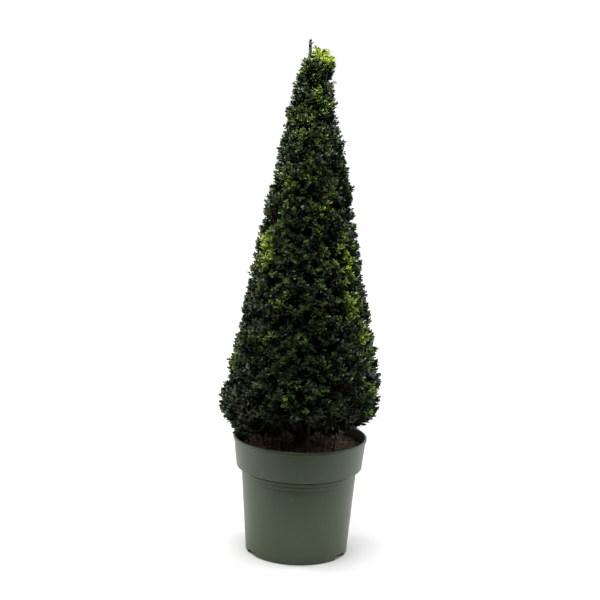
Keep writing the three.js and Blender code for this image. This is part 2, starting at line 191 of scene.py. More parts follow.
def close_ends(piece: Piece) -> None:
    """Fills the open ends of a turned form and faces its skin outwards.

    Args:
        piece: the form, whose mesh is changed.
    """
    solid = bmesh.new()
    solid.from_mesh(piece.data)
    bmesh.ops.holes_fill(solid, edges=[edge for edge in solid.edges if edge.is_boundary], sides=0)
    bmesh.ops.recalc_face_normals(solid, faces=solid.faces)
    solid.to_mesh(piece.data)
    solid.free()


def dress(piece: Piece, slot: str, *nodes: str) -> None:
    """Sets a piece on the plant's one body and reports it.

    Args:
        piece: the object to place.
        slot: the record's material slot for the piece. Not used.
        *nodes: the solids that the piece stands for.
    """
    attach(piece, "root")
    if nodes:
        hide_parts(*nodes)
    log.info("%s: %d triangles", piece.name, sum(len(face.vertices) - 2 for face in piece.data.polygons))


def set_inputs(tree: bpy.types.NodeTree, node: bpy.types.Node, inputs: dict[str, object]) -> None:
    """Sets or links inputs of a node.

    Args:
        tree: the tree that the node is in.
        node: the node.
        inputs: a value or an output for each input. The input is given by its name, with underscores for
            spaces, or by its number after an underscore.
    """
    for name, value in inputs.items():
        socket = node.inputs[int(name[1:])] if name[1:].isdigit() else node.inputs[name.replace("_", " ")]
        if isinstance(value, Socket):
            tree.links.new(value, socket)
        else:
            socket.default_value = value


def add_node(tree: bpy.types.NodeTree, kind: str, settings: dict[str, object] | None = None,
             **inputs: object) -> bpy.types.Node:
    """Adds a node with its settings and links.

    Args:
        tree: the node tree to add to.
        kind: the node's type name.
        settings: attributes of the node itself.
        **inputs: a value or an output for each input, as in set_inputs.

    Returns:
        The new node.
    """
    node = tree.nodes.new(kind)
    for name, value in (settings or {}).items():
        setattr(node, name, value)
    set_inputs(tree, node, inputs)
    return node


class Surface:
    """A material in the making: its node tree, its shader, and the place of each point on the piece."""

    def __init__(self, name: str) -> None:
        """Starts a material.

        Args:
            name: the material's name.
        """
        self.material = bpy.data.materials.new(name)
        self.material.use_nodes = True
        self.tree = self.material.node_tree
        self.shader = self.tree.nodes["Principled BSDF"]
        self.place = add_node(self.tree, "ShaderNodeTexCoord").outputs["Object"]

    def finished(self, **inputs: object) -> Material:
        """Returns the material, after setting or linking the shader's inputs that are named."""
        set_inputs(self.tree, self.shader, inputs)
        return self.material


@dataclass(frozen=True)
class MouldedPolypropylene:
    """Grey-green polypropylene, injection moulded, handled and set down outdoors."""

    # The mould leaves a satin skin with broad soft highlights. The colour is nearly even: a faint mottle from
    # how the plastic flowed, paler scuffs where pots have rubbed, and dust that splashed up round the foot
    green: str = "#404f32"
    shade: str = "#3b4a2e"
    worn: str = "#556447"
    dust: str = "#3b3529"
    roughness: Span = (0.38, 0.46)
    ior: float = 1.49
    mottle_mm: float = 38.0
    mottle_span: Span = (0.3, 0.7)
    # Scuffs are longer down the wall than round it, because pots slide in and out of stacks
    scuff_mm: float = 9.0
    scuff_squeeze: float = 0.28
    scuff_span: Span = (0.56, 0.78)
    scuff_most: float = 0.35
    dust_rise_mm: float = 22.0
    dust_most: float = 0.3
    # The mould's grain is about 0.1 mm wide. It is drawn 0.7 mm wide, because finer doesn't show
    grain_mm: float = 0.7
    grain_deep_mm: float = 0.1
    grain_strength: float = 0.12

    def material(self) -> Material:
        """Makes the pot's material.

        Returns:
            The material.
        """
        made = Surface("moulded_polypropylene")
        tree, place = made.tree, made.place
        mottle = add_node(tree, "ShaderNodeTexNoise", Vector=place, Scale=per_mm(self.mottle_mm),
                          Detail=3.0, Roughness=0.55).outputs["Fac"]
        drawn = add_node(tree, "ShaderNodeMapping", Vector=place, Scale=(1.0, 1.0, self.scuff_squeeze))
        scuffs = add_node(tree, "ShaderNodeTexNoise", Vector=drawn.outputs["Vector"],
                          Scale=per_mm(self.scuff_mm), Detail=6.0, Roughness=0.7)
        height = add_node(tree, "ShaderNodeSeparateXYZ", Vector=place).outputs["Z"]
        low = add_node(tree, "ShaderNodeMapRange", Value=height, From_Min=0.0,
                       From_Max=self.dust_rise_mm * MM, To_Min=self.dust_most, To_Max=0.0)
        splash = add_node(tree, "ShaderNodeTexNoise", Vector=place, Scale=per_mm(self.scuff_mm), Detail=4.0)
        dusted = add_node(tree, "ShaderNodeMath", {"operation": "MULTIPLY"}, _0=low.outputs["Result"],
                          _1=splash.outputs["Fac"])
        flowed = add_node(tree, "ShaderNodeMapRange", Value=mottle, From_Min=self.mottle_span[0],
                          From_Max=self.mottle_span[1])
        green = add_node(tree, "ShaderNodeMix", {"data_type": "RGBA"}, _0=flowed.outputs["Result"],
                         _6=linear(self.shade), _7=linear(self.green))
        rubbed = add_node(tree, "ShaderNodeMapRange", Value=scuffs.outputs["Fac"],
                          From_Min=self.scuff_span[0], From_Max=self.scuff_span[1], To_Max=self.scuff_most)
        worn = add_node(tree, "ShaderNodeMix", {"data_type": "RGBA"}, _0=rubbed.outputs["Result"],
                        _6=green.outputs[2], _7=linear(self.worn))
        dusty = add_node(tree, "ShaderNodeMix", {"data_type": "RGBA"}, _0=dusted.outputs["Value"],
                         _6=worn.outputs[2], _7=linear(self.dust))
        satin = add_node(tree, "ShaderNodeMapRange", Value=mottle, From_Min=self.mottle_span[0],
                         From_Max=self.mottle_span[1], To_Min=self.roughness[0], To_Max=self.roughness[1])
        grain = add_node(tree, "ShaderNodeTexNoise", Vector=place, Scale=per_mm(self.grain_mm), Detail=1.0)
        bump = add_node(tree, "ShaderNodeBump", Height=grain.outputs["Fac"], Strength=self.grain_strength,
                        Distance=self.grain_deep_mm * MM)
        return made.finished(Base_Color=dusty.outputs[2], Roughness=satin.outputs["Result"],
                             Normal=bump.outputs["Normal"], IOR=self.ior)


@dataclass(frozen=True)
class PeatCompost:
    """Peat and bark compost: milled, sieved to crumbs of a few millimetres, and watered."""

    # Peat swallows light and has no gloss. Where its top has dried it is brown with paler fibres. Low in the
    # pot, behind the drain notches, it is wet and nearly black: this also paints shade in the notches
    dark: str = "#5a4836"
    fibre: str = "#957e66"
    wet_and_shade: str = "#1c1510"
    roughness: float = 0.92
    wet_shade_to_dry_mm: Span = (60.0, 150.0)
    patch_mm: float = 11.0
    patch_span: Span = (0.38, 0.72)
    crumb_mm: float = 2.2
    crumb_deep_mm: float = 0.6
    crumb_strength: float = 0.6

    def material(self) -> Material:
        """Makes the compost's material.

        Returns:
            The material.
        """
        made = Surface("peat_compost")
        tree, place = made.tree, made.place
        patches = add_node(tree, "ShaderNodeTexNoise", Vector=place, Scale=per_mm(self.patch_mm),
                           Detail=5.0, Roughness=0.7)
        fibrous = add_node(tree, "ShaderNodeMapRange", Value=patches.outputs["Fac"],
                           From_Min=self.patch_span[0], From_Max=self.patch_span[1])
        dry = add_node(tree, "ShaderNodeMix", {"data_type": "RGBA"}, _0=fibrous.outputs["Result"],
                       _6=linear(self.dark), _7=linear(self.fibre))
        height = add_node(tree, "ShaderNodeSeparateXYZ", Vector=place).outputs["Z"]
        # Dark wet peat low in the pot also paints the shade inside the drain notches
        wet_shade_fade = add_node(tree, "ShaderNodeMapRange", Value=height, From_Min=self.wet_shade_to_dry_mm[0] * MM,
                          From_Max=self.wet_shade_to_dry_mm[1] * MM)
        brown = add_node(tree, "ShaderNodeMix", {"data_type": "RGBA"}, _0=wet_shade_fade.outputs["Result"],
                         _6=linear(self.wet_and_shade), _7=dry.outputs[2])
        crumbs = add_node(tree, "ShaderNodeTexVoronoi", Vector=place, Scale=per_mm(self.crumb_mm))
        bump = add_node(tree, "ShaderNodeBump", Height=crumbs.outputs["Distance"],
                        Strength=self.crumb_strength, Distance=self.crumb_deep_mm * MM)
        return made.finished(Base_Color=brown.outputs[2], Roughness=self.roughness,
                             Normal=bump.outputs["Normal"])


@dataclass(frozen=True)
class BoxBark:
    """Bark of a young box stem, which cracks as the wood under it thickens."""

    # Thin and corky, so it is dull: grey-brown on its ridges, and darker in fine cracks along the stem
    pale: str = "#6a5c48"
    dark: str = "#31281f"
    roughness: float = 0.85
    crack_mm: float = 1.6
    crack_length: float = 6.0
    crack_span: Span = (0.36, 0.64)
    crack_deep_mm: float = 0.4
    crack_strength: float = 0.5

    def material(self) -> Material:
        """Makes the bark's material.

        Returns:
            The material.
        """
        made = Surface("box_bark")
        tree = made.tree
        drawn = add_node(tree, "ShaderNodeMapping", Vector=made.place,
                         Scale=(1.0, 1.0, 1 / self.crack_length))
        cracks = add_node(tree, "ShaderNodeTexNoise", Vector=drawn.outputs["Vector"],
                          Scale=per_mm(self.crack_mm), Detail=4.0, Roughness=0.65).outputs["Fac"]
        ridges = add_node(tree, "ShaderNodeMapRange", Value=cracks, From_Min=self.crack_span[0],
                          From_Max=self.crack_span[1])
        brown = add_node(tree, "ShaderNodeMix", {"data_type": "RGBA"}, _0=ridges.outputs["Result"],
                         _6=linear(self.dark), _7=linear(self.pale))
        bump = add_node(tree, "ShaderNodeBump", Height=cracks, Strength=self.crack_strength,
                        Distance=self.crack_deep_mm * MM)
        return made.finished(Base_Color=brown.outputs[2], Roughness=self.roughness,
                             Normal=bump.outputs["Normal"])


@dataclass(frozen=True)
class GreenTwig:
    """Skin of box twigs of this year and last, not yet cracked into bark."""

    # Slightly waxy, olive where it is new and brown where it ages, in stretches longer than a leaf
    olive: str = "#4d5230"
    brown: str = "#4a3d29"
    roughness: float = 0.6
    stretch_mm: float = 12.0
    stretch_span: Span = (0.4, 0.6)

    def material(self) -> Material:
        """Makes the twigs' material.

        Returns:
            The material.
        """
        made = Surface("box_twig")
        ages = add_node(made.tree, "ShaderNodeTexNoise", Vector=made.place, Scale=per_mm(self.stretch_mm),
                        Detail=2.0)
        newer = add_node(made.tree, "ShaderNodeMapRange", Value=ages.outputs["Fac"],
                         From_Min=self.stretch_span[0], From_Max=self.stretch_span[1])
        skin = add_node(made.tree, "ShaderNodeMix", {"data_type": "RGBA"}, _0=newer.outputs["Result"],
                        _6=linear(self.brown), _7=linear(self.olive))
        return made.finished(Base_Color=skin.outputs[2], Roughness=self.roughness)


class LeafAge(Enum):
    """How old the leaves are, from the shaded inside of the crown out to the newest tips."""

    OLD = "old"
    MATURE = "mature"
    GREEN = "green"
    YOUNG = "young"
    TIP = "tip"


@dataclass(frozen=True)
class WaxyBoxLeaf:
    """Box leaves of one age: leathery, with a skin of wax that the leaf grows over its upper side."""

    # The wax gives small sharp glints of the white surround, over a green that is nearly black in old leaves
    # and lime in the newest. Neighbouring leaves differ a little, in patches about as large as a leaf
    age: LeafAge
    shades: tuple[str, str]
    roughness: float
    ior: float = 1.45
    patch_mm: float = 7.0
    patch_span: Span = (0.35, 0.65)

    def material(self) -> Material:
        """Makes the material of the leaves of this age.

        Returns:
            The material.
        """
        made = Surface(f"box_leaf_{self.age.value}")
        patches = add_node(made.tree, "ShaderNodeTexNoise", Vector=made.place, Scale=per_mm(self.patch_mm),
                           Detail=1.0)
        paler = add_node(made.tree, "ShaderNodeMapRange", Value=patches.outputs["Fac"],
                         From_Min=self.patch_span[0], From_Max=self.patch_span[1])
        green = add_node(made.tree, "ShaderNodeMix", {"data_type": "RGBA"}, _0=paler.outputs["Result"],
                         _6=linear(self.shades[0]), _7=linear(self.shades[1]))
        return made.finished(Base_Color=green.outputs[2], Roughness=self.roughness, IOR=self.ior)


LEAF_FINISHES = (
    WaxyBoxLeaf(LeafAge.OLD, ("#1b2412", "#232d17"), 0.42),
    WaxyBoxLeaf(LeafAge.MATURE, ("#27321a", "#334023"), 0.34),
    WaxyBoxLeaf(LeafAge.GREEN, ("#415424", "#546c2f"), 0.32),
    WaxyBoxLeaf(LeafAge.YOUNG, ("#677f24", "#7f9732"), 0.36),
    WaxyBoxLeaf(LeafAge.TIP, ("#96a834", "#b4c250"), 0.4),
)


@dataclass
class Pot:
    """The nursery pot: a turned, tapering wall with a rim band, a lip, moulding rings and drain notches."""

    height_mm: float = 195.0
    rim_radius_mm: float = 110.0
    lip_height_mm: float = 6.0
    lip_proud_mm: float = 1.5
    lip_chamfer_mm: float = 1.0
    band_height_mm: float = 51.0
    band_foot_radius_mm: float = 103.5
    step_rise_mm: float = 3.0
    neck_radius_mm: float = 95.0
    foot_radius_mm: float = 84.0
    wall_mm: float = 1.8
    floor_mm: float = 2.4
    # A narrow undercut below the band's step, and a groove in the underside, this far in from its edge
    undercut_start_mm: float = 2.2
    undercut_low_mm: float = 1.4
    undercut_deep_mm: Span = (0.9, 0.6)
    groove_in_mm: Span = (22.0, 18.0)
    groove_deep_mm: float = 0.6
    # Two fine rings, this far below the band
    ring_drops_mm: Span = (17.0, 10.5)
    ring_half_mm: float = 0.7
    ring_deep_mm: float = 0.35
    ring_edge_mm: float = 0.05
    drain_holes: int = 3
    drain_width_mm: float = 30.0
    drain_height_mm: float = 6.5
    drain_depth_mm: float = 11.0
    cut_below_mm: float = 1.0
    arch_steps: int = 12
    arch_squareness: float = 0.72
    segments: int = 192
    fillet_steps: int = 5
    # A fillet takes up no more than this share of a side, and hardly bent corners count as bent this much
    fillet_room: float = 0.45
    fillet_bend: float = 0.05
    sharp_angle: float = math.radians(38)
    finish: MouldedPolypropylene = MouldedPolypropylene()

    def outline(self) -> list[Place]:
        """Lists the corners of the pot's section, up the outside and down the inside.

        Returns:
            The radius, height and fillet of each corner, in millimetres.
        """
        foot, neck, wall, groove = self.foot_radius_mm, self.neck_radius_mm, self.wall_mm, self.groove_deep_mm
        band = self.height_mm - self.band_height_mm
        crease = band - self.step_rise_mm
        lip = self.height_mm - self.lip_height_mm
        lip_inside = self.rim_radius_mm - self.lip_proud_mm
        slope = (neck - foot) / crease
        inner, outer = (foot - inwards for inwards in self.groove_in_mm)
        corners = [
            (0.0, 0.0, 0.0),
            (inner, 0.0, 0.4),
            (inner + groove, groove, 0.2),
            (outer - groove, groove, 0.2),
            (outer, 0.0, 0.4),
            (foot, 0.0, 2.2),
        ]
        for drop in self.ring_drops_mm:
            height = band - drop
            radius = foot + slope * height
            corners += [
                (radius - self.ring_edge_mm, height - self.ring_half_mm, 0.3),
                (radius - self.ring_deep_mm, height, 0.3),
                (radius + self.ring_edge_mm, height + self.ring_half_mm, 0.3),
            ]
        corners += [
            (neck - self.undercut_start_mm * slope, crease - self.undercut_start_mm, 0.3),
            (neck - self.undercut_deep_mm[0], crease - self.undercut_low_mm, 0.3),
            (neck - self.undercut_deep_mm[1], crease, 0.4),
            (self.band_foot_radius_mm, band, 1.4),
            (lip_inside, lip, 0.6),
            (self.rim_radius_mm, lip + self.lip_chamfer_mm, 0.7),
            (self.rim_radius_mm, self.height_mm, 1.0),
            (lip_inside - wall, self.height_mm, 0.9),
            (self.band_foot_radius_mm - wall, band + wall, 1.2),
            (neck - wall, band + wall - self.step_rise_mm, 1.2),
            (foot - wall, self.floor_mm, 1.5),
            (0.0, self.floor_mm, 0.0),
        ]
        return corners

    def rounded(self, corners: list[Place]) -> np.ndarray:
        """Rounds the corners of the section, leaving out its two ends on the axis.

        Args:
            corners: the radius, height and fillet of each corner, in millimetres.

        Returns:
            The radius and height of each point of the rounded section, in metres.
        """
        places = np.array([corner[:2] for corner in corners])
        points = []
        for below, corner, above, (_, _, fillet) in zip(places, places[1:], places[2:], corners[1:]):
            before, after = unit(below - corner), unit(above - corner)
            half = math.acos(np.clip(before @ after, -1, 1)) / 2
            room = min(np.linalg.norm(below - corner), np.linalg.norm(above - corner))
            reach = min(fillet / max(math.tan(half), self.fillet_bend), self.fillet_room * room)
            for share in np.linspace(0, 1, self.fillet_steps):
                start = corner + before * reach * (1 - share)
                end = corner + after * reach * share
                points.append(start * (1 - share) + end * share)
        return np.array(points) * MM

    def wall(self) -> Piece:
        """Turns the section about the pot's axis.

        Returns:
            The pot, closed all round.
        """
        section = self.rounded(self.outline())
        turns = np.linspace(0, FULL_TURN, self.segments, endpoint=False)
        radii, heights = section[:, None, 0], section[:, None, 1]
        points = np.stack([radii * np.cos(turns), radii * np.sin(turns),
                           np.broadcast_to(heights, (len(section), self.segments))], axis=-1)
        faces = tube_faces(len(section), self.segments)
        wall = mesh_piece("pot_wall", points.reshape(-1, 3), faces, self.finish.material())
        close_ends(wall)
        return wall

    def cutters(self) -> Piece:
        """Makes the arched blocks that cut the drain notches through the corner of the foot.

        Returns:
            All the blocks as one object.
        """
        half = self.drain_width_mm / 2
        arch = [(-half, -self.cut_below_mm), (half, -self.cut_below_mm)]
        for step in range(self.arch_steps + 1):
            turn = math.pi * step / self.arch_steps
            across = math.copysign(abs(math.cos(turn)) ** self.arch_squareness, math.cos(turn))
            arch.append((half * across, self.drain_height_mm * math.sin(turn) ** self.arch_squareness))
        blocks = bmesh.new()
        for hole in range(self.drain_holes):
            turned = Matrix.Rotation(FULL_TURN * hole / self.drain_holes, 4, "Z")
            near, far = (
                [blocks.verts.new(turned @ Vector((x, self.foot_radius_mm + out, z)) * MM) for x, z in arch]
                for out in (-self.drain_depth_mm, self.drain_depth_mm)
            )
            blocks.faces.new(near)
            blocks.faces.new(far[::-1])
            for index in range(len(arch)):
                after = (index + 1) % len(arch)
                blocks.faces.new((near[index], far[index], far[after], near[after]))
        bmesh.ops.recalc_face_normals(blocks, faces=blocks.faces)
        mesh = bpy.data.meshes.new("drain_cutters")
        blocks.to_mesh(mesh)
        blocks.free()
        cutters = bpy.data.objects.new("drain_cutters", mesh)
        bpy.context.scene.collection.objects.link(cutters)
        return cutters

    def build(self) -> None:
        """Makes the pot, cuts its notches and lets it stand for its solid."""
        pot, cutters = self.wall(), self.cutters()
        cut = pot.modifiers.new("drains", "BOOLEAN")
        cut.object = cutters
        cut.operation = "DIFFERENCE"
        cut.solver = "EXACT"
        notched = bpy.data.meshes.new_from_object(pot.evaluated_get(bpy.context.evaluated_depsgraph_get()))
        pot.modifiers.clear()
        pot.data = notched
        bpy.data.objects.remove(cutters)
        notched.set_sharp_from_angle(angle=self.sharp_angle)
        dress(pot, "pot_plastic", "pot")


@dataclass(frozen=True)
class Litter:
    """A kind of bit loose on the compost: how many, how wide, and how far from round balls they are."""

    name: str
    count: int
    sizes_mm: Span
    flatness: float
    bumps: Span = (0.7, 1.2)
    stretch: Span = (0.6, 1.4)
    tilt: Span = (-0.5, 0.5)
    proud: float = 0.15


@dataclass
class Compost:
    """The compost: a body that fills the pot, with a lumpy top, and loose crumbs and bark chips on it."""

    pot: Pot
    below_rim_mm: float = 17.0
    mound_mm: float = 4.0
    gap_mm: float = 0.3
    bevel_mm: float = 1.0
    core_radius_mm: float = 0.5
    # The top is flat round the stem. Elsewhere it has broad and fine lumps, each from its own level of noise
    flat_radius_mm: float = 14.0
    flat_fade_mm: float = 6.0
    lump_mm: float = 1.8
    lump_widths_mm: Span = (14.0, 3.6)
    lump_levels: Span = (3.1, 9.7)
    fine_share: float = 0.55
    segments: int = 160
    rings: int = 56
    litter_inset_mm: float = 2.0
    litter: tuple[Litter, ...] = (
        Litter("compost_crumbs", 1500, (1.0, 4.2), 0.75),
        Litter("compost_chips", 150, (4.0, 9.0), 0.3),
    )
    finish: PeatCompost = PeatCompost()

    def height(self, radius: float) -> float:
        """Returns the height of the smooth top at a distance from the axis, both in millimetres."""
        share = np.minimum(radius / self.pot.band_foot_radius_mm, 1)
        return self.pot.height_mm - self.below_rim_mm + self.mound_mm * (1 - share * share)

    def lumps(self, x: float, y: float) -> float:
        """Finds how far the top stands out of the smooth one.

        Args:
            x: the place's distance to the right of the axis, in millimetres.
            y: the place's distance behind the axis.

        Returns:
            The height to add, in millimetres.
        """
        away = clamped((math.hypot(x, y) - self.flat_radius_mm) / self.flat_fade_mm)
        broad, fine = (noise.noise(Vector((x / width, y / width, level)))
                       for width, level in zip(self.lump_widths_mm, self.lump_levels))
        return away * self.lump_mm * (broad + self.fine_share * fine)

    def edge(self) -> float:
        """Finds where the top meets the pot.

        Returns:
            The radius of the top's edge, in millimetres.
        """
        pot = self.pot
        slope = (pot.rim_radius_mm - pot.lip_proud_mm - pot.band_foot_radius_mm) / pot.band_height_mm
        rise = self.height(pot.band_foot_radius_mm) - (pot.height_mm - pot.band_height_mm)
        return pot.band_foot_radius_mm - pot.wall_mm - self.gap_mm + slope * rise - self.gap_mm

    def body(self, material: Material) -> Piece:
        """Makes the body of compost, a small gap clear of the pot.

        Args:
            material: its material.

        Returns:
            The body, closed all round.
        """
        pot, inset = self.pot, self.pot.wall_mm + self.gap_mm
        bottom = pot.floor_mm + self.gap_mm
        shelf = pot.height_mm - pot.band_height_mm + inset
        rows = [
            (self.core_radius_mm, bottom),
            (pot.foot_radius_mm - inset - self.bevel_mm, bottom),
            (pot.foot_radius_mm - inset, bottom + self.bevel_mm),
            (pot.neck_radius_mm - inset, shelf - pot.step_rise_mm),
            (pot.band_foot_radius_mm - inset, shelf),
        ]
        rows += [(self.edge() * (1 - ring / self.rings), None) for ring in range(self.rings)]
        points = []
        for radius, height in rows:
            for segment in range(self.segments):
                x, y, _ = outward(FULL_TURN * segment / self.segments) * radius
                points.append((x, y, self.height(radius) + self.lumps(x, y) if height is None else height))
        faces = tube_faces(len(rows), self.segments)
        body = mesh_piece("compost_body", np.array(points) * MM, faces, material)
        close_ends(body)
        return body

    def scatter(self, litter: Litter, draws: SeededDraws, material: Material) -> Piece:
        """Scatters one kind of bit over the compost, each with its own bumps, stretch and tilt.

        Args:
            litter: the kind of bit.
            draws: where the numbers come from.
            material: the bits' material.

        Returns:
            All the bits as one piece.
        """
        ball = bmesh.new()
        bmesh.ops.create_icosphere(ball, subdivisions=1, radius=0.5)
        ball.verts.index_update()
        shape = np.array([vertex.co[:] for vertex in ball.verts])
        faces = np.array([[vertex.index for vertex in face.verts] for face in ball.faces])
        ball.free()
        points = []
        for _ in range(litter.count):
            radius = (self.edge() - self.litter_inset_mm) * math.sqrt(draws())
            x, y, _ = outward(FULL_TURN * draws()) * radius
            size = blend(*litter.sizes_mm, draws() ** 2)
            z = self.height(radius) + self.lumps(x, y) + litter.proud * size
            bumpy = shape * np.array([[draws.between(*litter.bumps) for _ in range(3)] for _ in shape])
            stretch = np.array((draws.between(*litter.stretch), 1.0, litter.flatness)) * size
            tilt = Matrix.Rotation(draws.between(*litter.tilt), 3, "X")
            turn = Matrix.Rotation(FULL_TURN * draws(), 3, "Z")
            points.append((bumpy * stretch) @ np.array(tilt @ turn) + (x, y, z))
        every = faces[None] + (np.arange(litter.count) * len(shape))[:, None, None]
        return mesh_piece(litter.name, np.concatenate(points) * MM, every.reshape(-1, 3), material)

    def build(self) -> None:
        """Makes the compost and what lies loose on it."""
        draws = SeededDraws(Growth.LOOSE_COMPOST)
        material = self.finish.material()
        dress(self.body(material), "compost", "compost")
        for litter in self.litter:
            dress(self.scatter(litter, draws, material), "compost")


@dataclass(frozen=True)
class Relief:
    """Ridges of one size in bark: how close they are round the stem and along it, and how high they stand."""

    round_stem: float
    along_mm: float
    level: float
    height: float


@dataclass
class Limb:
    """A limb along a line of points, each with a radius, in millimetres."""

    line: np.ndarray
    radii: np.ndarray
    reliefs: tuple[Relief, ...] = (Relief(3.2, 26.0, 0.0, 1.0), Relief(7.5, 9.0, 40.0, 0.6))

    def ridge(self, turn: float, height: float) -> float:
        """Finds how high the bark stands at a place.

        Args:
            turn: the place's angle round the limb.
            height: its height, in millimetres.

        Returns:
            The height of the ridges there, about -1 to 1.
        """
        return sum(size.height * noise.noise(Vector((
            size.round_stem * math.cos(turn), size.round_stem * math.sin(turn),
            height / size.along_mm + size.level))) for size in self.reliefs)

    def skin(self, sides: int, relief_mm: float = 0.0) -> tuple[np.ndarray, np.ndarray]:
        """Wraps the limb in a closed skin.

        Args:
            sides: how many points go round it.
            relief_mm: how far the bark's ridges stand out.

        Returns:
            Vertices in millimetres, and triangles.
        """
        along = unit(np.gradient(self.line, axis=0))
        across = unit(np.cross(np.array((0.0, 1.0, 0.0)), along))
        deep = np.cross(along, across)
        turns = np.linspace(0, FULL_TURN, sides, endpoint=False)
        rims = np.cos(turns)[None, :, None] * across[:, None] + np.sin(turns)[None, :, None] * deep[:, None]
        reach = np.broadcast_to(self.radii[:, None], rims.shape[:2]).copy()
        if relief_mm:
            ridges = [[self.ridge(turn, place[2]) for turn in turns] for place in self.line]
            reach += relief_mm * np.array(ridges)
        rings = (self.line[:, None] + rims * reach[:, :, None]).reshape(-1, 3)
        points = np.concatenate([self.line[:1], rings, self.line[-1:]])
        quads = tube_faces(len(self.line), sides) + 1
        side, beside = np.arange(sides), (np.arange(sides) + 1) % sides
        last = len(points) - 1
        foot = np.stack([np.zeros(sides, dtype=int), beside + 1, side + 1], axis=1)
        tip = np.stack([np.full(sides, last), last - sides + side, last - sides + beside], axis=1)
        return points, np.concatenate([foot, quads[:, [0, 1, 2]], quads[:, [0, 2, 3]], tip])


def limbs_piece(name: str, limbs: list[Limb], sides: int, material: Material,
                relief_mm: float = 0.0) -> Piece:
    """Joins the skins of limbs into one piece.

    Args:
        name: the piece's name.
        limbs: the limbs.
        sides: how many points go round each.
        material: the material of them all.
        relief_mm: how far the bark's ridges stand out.

    Returns:
        The joined piece.
    """
    points, faces, total = [], [], 0
    for limb in limbs:
        skin, triangles = limb.skin(sides, relief_mm)
        points.append(skin)
        faces.append(triangles + total)
        total += len(skin)
    return mesh_piece(name, np.concatenate(points) * MM, np.concatenate(faces), material)


@dataclass
class Crown:
    """The crown's rule: its outline, its layers and how shoots are spread over it, as in the solids."""

    # Heights and radii from the skirt's underside up
    outline: tuple[Span, ...] = (
        (205, 86), (206, 102), (216, 119), (236, 130), (258, 133), (804, 25), (824, 9))
    widest_mm: float = 258.0
    summit_mm: float = 824.0
    step_mm: float = 2.0
    # The solids' leaves, how shoots lean out and up, and how much of a leaf is past its shoot's tip
    leaf_foot_mm: float = 33.0
    leaf_top_mm: float = 22.0
    shoot_lean: float = math.radians(30)
    normal_share: float = 0.55
    leaf_past_tip: float = 0.8
    masses: tuple[str, ...] = ("crown_skirt", "crown_lower", "crown_middle", "crown_upper", "crown_top")
    starts: tuple[float, ...] = (200.0, 328.0, 455.0, 577.0, 690.0)
    mass_slope: float = 0.5
    # Height against how far the clipped outline has drifted to the right of the pot's axis
    sway: tuple[Span, ...] = (
        (205, -7), (218, -9), (236, -5), (258, -2), (300, 3), (400, 2), (520, 1), (620, 3), (700, 1),
        (780, 2), (806, 11.5), (824, 9))
    # Height against how wide the clipped outline is there, as a share of an even one
    pinch: tuple[Span, ...] = (
        (218, 0.97), (242, 1.0), (730, 1.0), (770, 0.92), (798, 1.07), (814, 1.22), (824, 1.15))
    # The skirt's hem is higher at the front, and the lift fades out faster to the left than to the right
    hem_angle: float = math.radians(-88)
    hem_rise_mm: float = 32.0
    hem_wide: Span = (math.radians(48), math.radians(74))
    hem_top_mm: float = 272.0
    hem_fade_mm: float = 60.0
    # There it is also bare, most of all low down
    bare_wide: float = math.radians(62)
    bare_edge: float = 4.0
    bare_mm: Span = (298.0, 268.0)
    places: np.ndarray = field(init=False)
    shares: np.ndarray = field(init=False)

    def __post_init__(self) -> None:
        """Walks the outline in short steps, noting for each the share of the shoots up to there."""
        places, weights = [], []
        for (z0, r0), (z1, r1) in zip(self.outline, self.outline[1:]):
            length = math.hypot(z1 - z0, r1 - r0)
            count = math.ceil(length / self.step_mm)
            for step in range(count):
                share = (step + 0.5) / count
                height, radius = blend(z0, z1, share), blend(r0, r1, share)
                leaf = blend(self.leaf_foot_mm, self.leaf_top_mm, self.share(height))
                weights.append((length / count) * radius / leaf ** 2)
                places.append((height, radius, math.atan2(r0 - r1, z1 - z0)))
        self.places = np.array(places)
        self.shares = np.cumsum(weights) / sum(weights)

    def radius(self, height: float) -> float:
        """Returns the crown's radius at a height."""
        return float(np.interp(height, *zip(*self.outline)))

    def share(self, height: float) -> float:
        """Returns how far up the crown a height is, from 0 at its widest to 1 at its summit."""
        return clamped((height - self.widest_mm) / (self.summit_mm - self.widest_mm))

    def place(self, share: float) -> Place:
        """Returns the height, radius and slope of the outline where a share of the shoots is reached."""
        return tuple(self.places[np.searchsorted(self.shares, share)])

    def lean(self, normal: float, jitter: float) -> float:
        """Returns how far up a shoot points from level, by the outline's slope and a draw of its own."""
        return self.shoot_lean + self.normal_share * normal + jitter

    def mass_of(self, point: np.ndarray) -> int:
        """Finds the mass that a point is in.

        Args:
            point: the point, in millimetres.

        Returns:
            The number of the mass whose slanting layer holds the point.
        """
        layer = point[2] - self.mass_slope * math.hypot(point[0], point[1])
        levels = [start - self.mass_slope * self.radius(start) for start in self.starts[1:]]
        return sum(layer >= level for level in levels)

    def from_front(self, turn: float) -> float:
        """Returns how far an angle is to the right of the middle of the raised hem."""
        return (turn - self.hem_angle + math.pi) % FULL_TURN - math.pi

    def bareness(self, turn: float, height: float) -> float:
        """Finds how bare of leaves the front of the hem is.

        Args:
            turn: the angle round the crown.
            height: the height, in millimetres.

        Returns:
            A share from 0, as leafy as the rest, to 1, bare.
        """
        low = (self.bare_mm[0] - height) / (self.bare_mm[0] - self.bare_mm[1])
        near = self.bare_edge * (self.bare_wide - abs(self.from_front(turn)))
        return clamped(low) * clamped(near)

    def settled(self, point: np.ndarray) -> np.ndarray:
        """Moves a point of the even outline to where the real crown has it.

        Args:
            point: the point, in millimetres.

        Returns:
            The point shifted and pinched with the outline, and raised where the front of the hem is higher.
        """
        shift = float(np.interp(point[2], *zip(*self.sway)))
        wide = float(np.interp(point[2], *zip(*self.pinch)))
        away = self.from_front(math.atan2(point[1], point[0]))
        low = clamped((self.hem_top_mm - point[2]) / self.hem_fade_mm)
        lift = self.hem_rise_mm * math.exp(-(away / self.hem_wide[away > 0]) ** 2) * low
        return point * (wide, wide, 1.0) + (shift, 0.0, lift)


